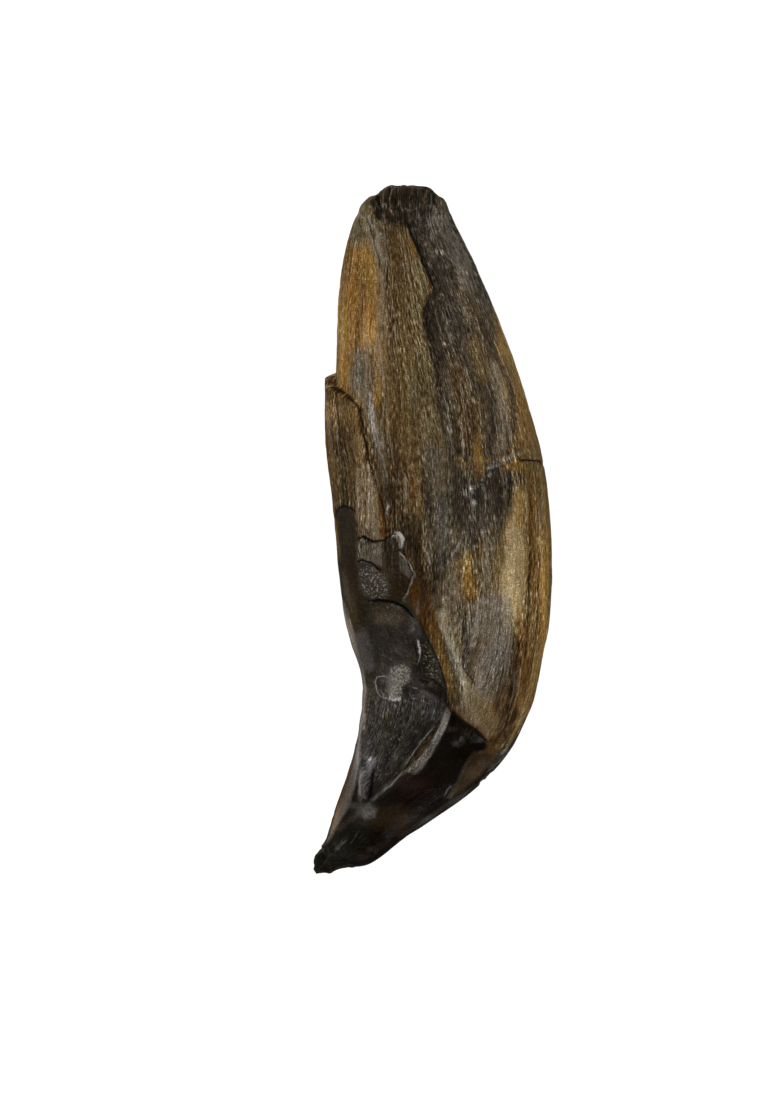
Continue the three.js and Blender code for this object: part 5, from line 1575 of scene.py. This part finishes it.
def tooth_material(name, groups, finish):
    """The tooth's stains, broken up by fibres, mineral grit and chalk specks, with a polish of its own."""
    material = bpy.data.materials.new(name)
    material.use_nodes = True
    tree = material.node_tree
    tree.nodes.clear()
    surface = tree.nodes.new("ShaderNodeBsdfPrincipled")
    output = tree.nodes.new("ShaderNodeOutputMaterial")
    join(tree, surface.outputs[0], output.inputs[0])
    stain_at, grain_at = attribute_node(tree, "stain"), attribute_node(tree, "grain")
    fibre_at, gloss_at, chalk_at = (attribute_node(tree, label) for label in ("fibre", "gloss", "chalk"))
    place = tree.nodes.new("ShaderNodeTexCoord").outputs["Object"]

    fibres = place_group(tree, groups["fibre_grain"], {"Grain": grain_at.outputs["Vector"]},
                         {"Width": finish["fibre_mm"], "Length": finish["fibre_length"]})
    mottle = place_group(tree, groups["mineral_mottle"], {"Place": place},
                         {"Size": finish["blotch_mm"], "Grit": finish["grit_mm"]})
    specks = place_group(tree, groups["chalk_specks"], {"Place": place, "Amount": chalk_at.outputs["Fac"]},
                         {"Size": finish["speck_mm"]})

    fibrous = fibre_at.outputs["Fac"]
    swing = times(tree, times(tree, fibres.outputs["Swing"], fibrous), finish["fibre_swing"])
    swing = maths(tree, "MULTIPLY_ADD", mottle.outputs["Swing"], finish["grit_swing"], swing)
    for line, strength in (("Groove", -finish["groove_depth"]), ("Thread", finish["thread_glow"])):
        swing = maths(tree, "MULTIPLY_ADD", times(tree, fibres.outputs[line], fibrous), strength, swing)
    toned = place_group(tree, groups["tone_and_sheen"], {"Stain": stain_at.outputs["Color"], "Swing": swing},
                        {"Exposure": finish["exposure"], "Fading": finish["fading"]}).outputs["Colour"]
    drift = times(tree, times(tree, fibres.outputs["Drift"], fibrous), finish["drift"])
    warmed = blend_colour(tree, "MULTIPLY", remap(tree, drift, 0.0, 1.0), toned, finish["warm"])
    cooled = blend_colour(tree, "MULTIPLY", remap(tree, drift, -1.0, 0.0, 1.0, 0.0), warmed, finish["cool"])
    speck_share = times(tree, specks.outputs["Specks"], finish["speck_strength"])
    chalked = blend_colour(tree, "MIX", speck_share, cooled, CHALK)
    lines = [attribute_node(tree, name).outputs["Vector"] for name in ("dark_lines", "pale_lines")]
    masks = [place_group(tree, groups["crisp_line"], {"Line": line, "Place": place}, {}) for line in lines]
    dark_lines, pale_lines = (mask.outputs["Mask"] for mask in masks)
    # pale lines are chip edges and painted highlights; dark lines are crack lines and painted shadow lines
    edged = blend_colour(tree, "MIX", pale_lines, chalked, CHALK)
    coloured = blend_colour(tree, "MIX", dark_lines, edged, PITCH)
    join(tree, coloured, surface.inputs["Base Color"])

    glossier = finish["glossy"] - finish["satin"]
    polish = maths(tree, "MULTIPLY_ADD", gloss_at.outputs["Fac"], glossier, finish["satin"])
    uneven = maths(tree, "MULTIPLY_ADD", maths(tree, "SUBTRACT", mottle.outputs["Height"], 0.5), 0.4, polish)
    chalky = maths(tree, "ADD", uneven, times(tree, specks.outputs["Specks"], 0.25), clamp=True)
    join(tree, chalky, surface.inputs["Roughness"])

    height = times(tree, fibres.outputs["Height"], fibrous)
    height = maths(tree, "MULTIPLY_ADD", mottle.outputs["Height"], finish["grit_bump"], height)
    height = maths(tree, "MULTIPLY_ADD", specks.outputs["Specks"], 0.15, height)
    height = maths(tree, "MULTIPLY_ADD", dark_lines, -0.8, height)
    height = maths(tree, "MULTIPLY_ADD", pale_lines, 0.4, height)
    bump = tree.nodes.new("ShaderNodeBump")
    bump.inputs["Strength"].default_value = finish["bump"]
    bump.inputs["Distance"].default_value = finish["bump_mm"] * MM
    join(tree, height, bump.inputs["Height"])
    join(tree, bump.outputs[0], surface.inputs["Normal"])
    surface.inputs["IOR"].default_value = 1.5
    surface.inputs["Specular IOR Level"].default_value = finish["specular"]
    return material


ROOT_FINISH = {
    "exposure": 0.35, "fading": 0.25,
    "fibre_mm": 0.08, "fibre_length": 8.0, "fibre_swing": 2.2, "groove_depth": 0.7, "thread_glow": 0.6,
    "blotch_mm": 0.7, "grit_mm": 0.13, "grit_swing": 0.7, "grit_bump": 0.5,
    "drift": 1.0, "warm": (255, 246, 216), "cool": (240, 240, 252),
    "speck_mm": 0.2, "speck_strength": 0.35, "satin": 0.5, "glossy": 0.3, "specular": 0.06,
    "bump": 0.9, "bump_mm": 0.2,
}
CROWN_FINISH = {
    "exposure": 0.0, "fading": 0.2,
    "fibre_mm": 0.09, "fibre_length": 7.0, "fibre_swing": 1.4, "groove_depth": 0.7, "thread_glow": 0.9,
    "blotch_mm": 1.1, "grit_mm": 0.18, "grit_swing": 0.45, "grit_bump": 0.2,
    "drift": 0.6, "warm": (255, 240, 206), "cool": (240, 248, 255),
    "speck_mm": 0.17, "speck_strength": 0.42, "satin": 0.36, "glossy": 0.2, "specular": 0.04,
    "bump": 0.7, "bump_mm": 0.16,
}

# ---------------------------------------- camera, light and floor


def make_camera():
    data = bpy.data.cameras.new("view")
    data.lens = LENS_MM
    data.sensor_width = SENSOR_MM
    camera = bpy.data.objects.new("view", data)
    camera.location = [value * MM for value in EYE_MM]
    bpy.context.scene.collection.objects.link(camera)
    bpy.context.scene.camera = camera


def make_softbox(name, place, size, power):
    """A square soft light at `place`, aimed at the tooth."""
    data = bpy.data.lights.new(name, "AREA")
    data.size = size
    data.energy = power
    light = bpy.data.objects.new(name, data)
    light.location = place
    aim = -light.location
    light.rotation_mode = "QUATERNION"
    light.rotation_quaternion = aim.to_track_quat("-Z", "Y")
    light.visible_camera = False
    bpy.context.scene.collection.objects.link(light)


FLOOR_HALF = 3.0
FLOOR_CORNERS = [(-1, -1), (1, -1), (1, 1), (-1, 1)]
FLOOR_GLOW = 0.97
FLOOR_FINISH = {
    "Base Color": (0.14, 0.14, 0.14, 1.0),
    "Roughness": 0.9,
    "Specular IOR Level": 0.1,
    "Emission Color": (1.0, 1.0, 1.0, 1.0),
}


def make_floor():
    mesh = bpy.data.meshes.new("floor")
    mesh.from_pydata([(x * FLOOR_HALF, y * FLOOR_HALF, 0) for x, y in FLOOR_CORNERS], [], [(0, 1, 2, 3)])
    floor = bpy.data.objects.new("floor", mesh)
    material = bpy.data.materials.new("pale_floor")
    material.use_nodes = True
    surface = material.node_tree.nodes["Principled BSDF"]
    for label, value in FLOOR_FINISH.items():
        surface.inputs[label].default_value = value
    light_path = material.node_tree.nodes.new("ShaderNodeLightPath")
    seen = maths(material.node_tree, "MULTIPLY", light_path.outputs["Is Camera Ray"], FLOOR_GLOW)
    join(material.node_tree, seen, surface.inputs["Emission Strength"])
    mesh.materials.append(material)
    bpy.context.scene.collection.objects.link(floor)


def make_sky():
    """A light tent: bright low down all round, and dim straight above."""
    world = bpy.data.worlds.new("light_tent")
    world.use_nodes = True
    tree = world.node_tree
    direction = tree.nodes.new("ShaderNodeTexCoord").outputs["Generated"]
    split = tree.nodes.new("ShaderNodeSeparateXYZ")
    join(tree, direction, split.inputs[0])
    sky = tree.nodes["Background"]
    join(tree, remap(tree, split.outputs["Z"], 0.1, 0.65, 0.4, 0.04), sky.inputs["Strength"])
    sky.inputs["Color"].default_value = (1.0, 1.0, 1.0, 1.0)
    bpy.context.scene.world = world


SOFTBOXES = [  # name, place in metres, size in metres, power in watts
    ("left_softbox", (-0.65, 0.25, 0.55), 0.16, 5.0),
    ("back_softbox", (0.1, 0.75, 0.5), 0.2, 2.2),
    ("right_softbox", (0.8, -0.15, 0.26), 0.2, 2.6),
    ("front_softbox", (0.15, -0.82, 0.22), 0.2, 2.0),
]


def make_studio():
    make_camera()
    make_floor()
    make_sky()
    for softbox in SOFTBOXES:
        make_softbox(*softbox)
    bpy.context.scene.view_settings.view_transform = "Standard"


# ---------------------------------------- the tooth, put together

make_studio()
groups = {
    "fibre_grain": fibre_grain_group(),
    "chalk_specks": chalk_specks_group(),
    "mineral_mottle": mineral_mottle_group(),
    "crisp_line": crisp_line_group(),
    "tone_and_sheen": tone_and_sheen_group(),
}
root_cementum = tooth_material("root_cementum", groups, ROOT_FINISH)
crown_enamel = tooth_material("crown_enamel", groups, CROWN_FINISH)

skin = Skin()
shape(skin)
stain(skin)
tooth = make_tooth(skin, [root_cementum, crown_enamel])
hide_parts("tooth")
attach(tooth, "root")
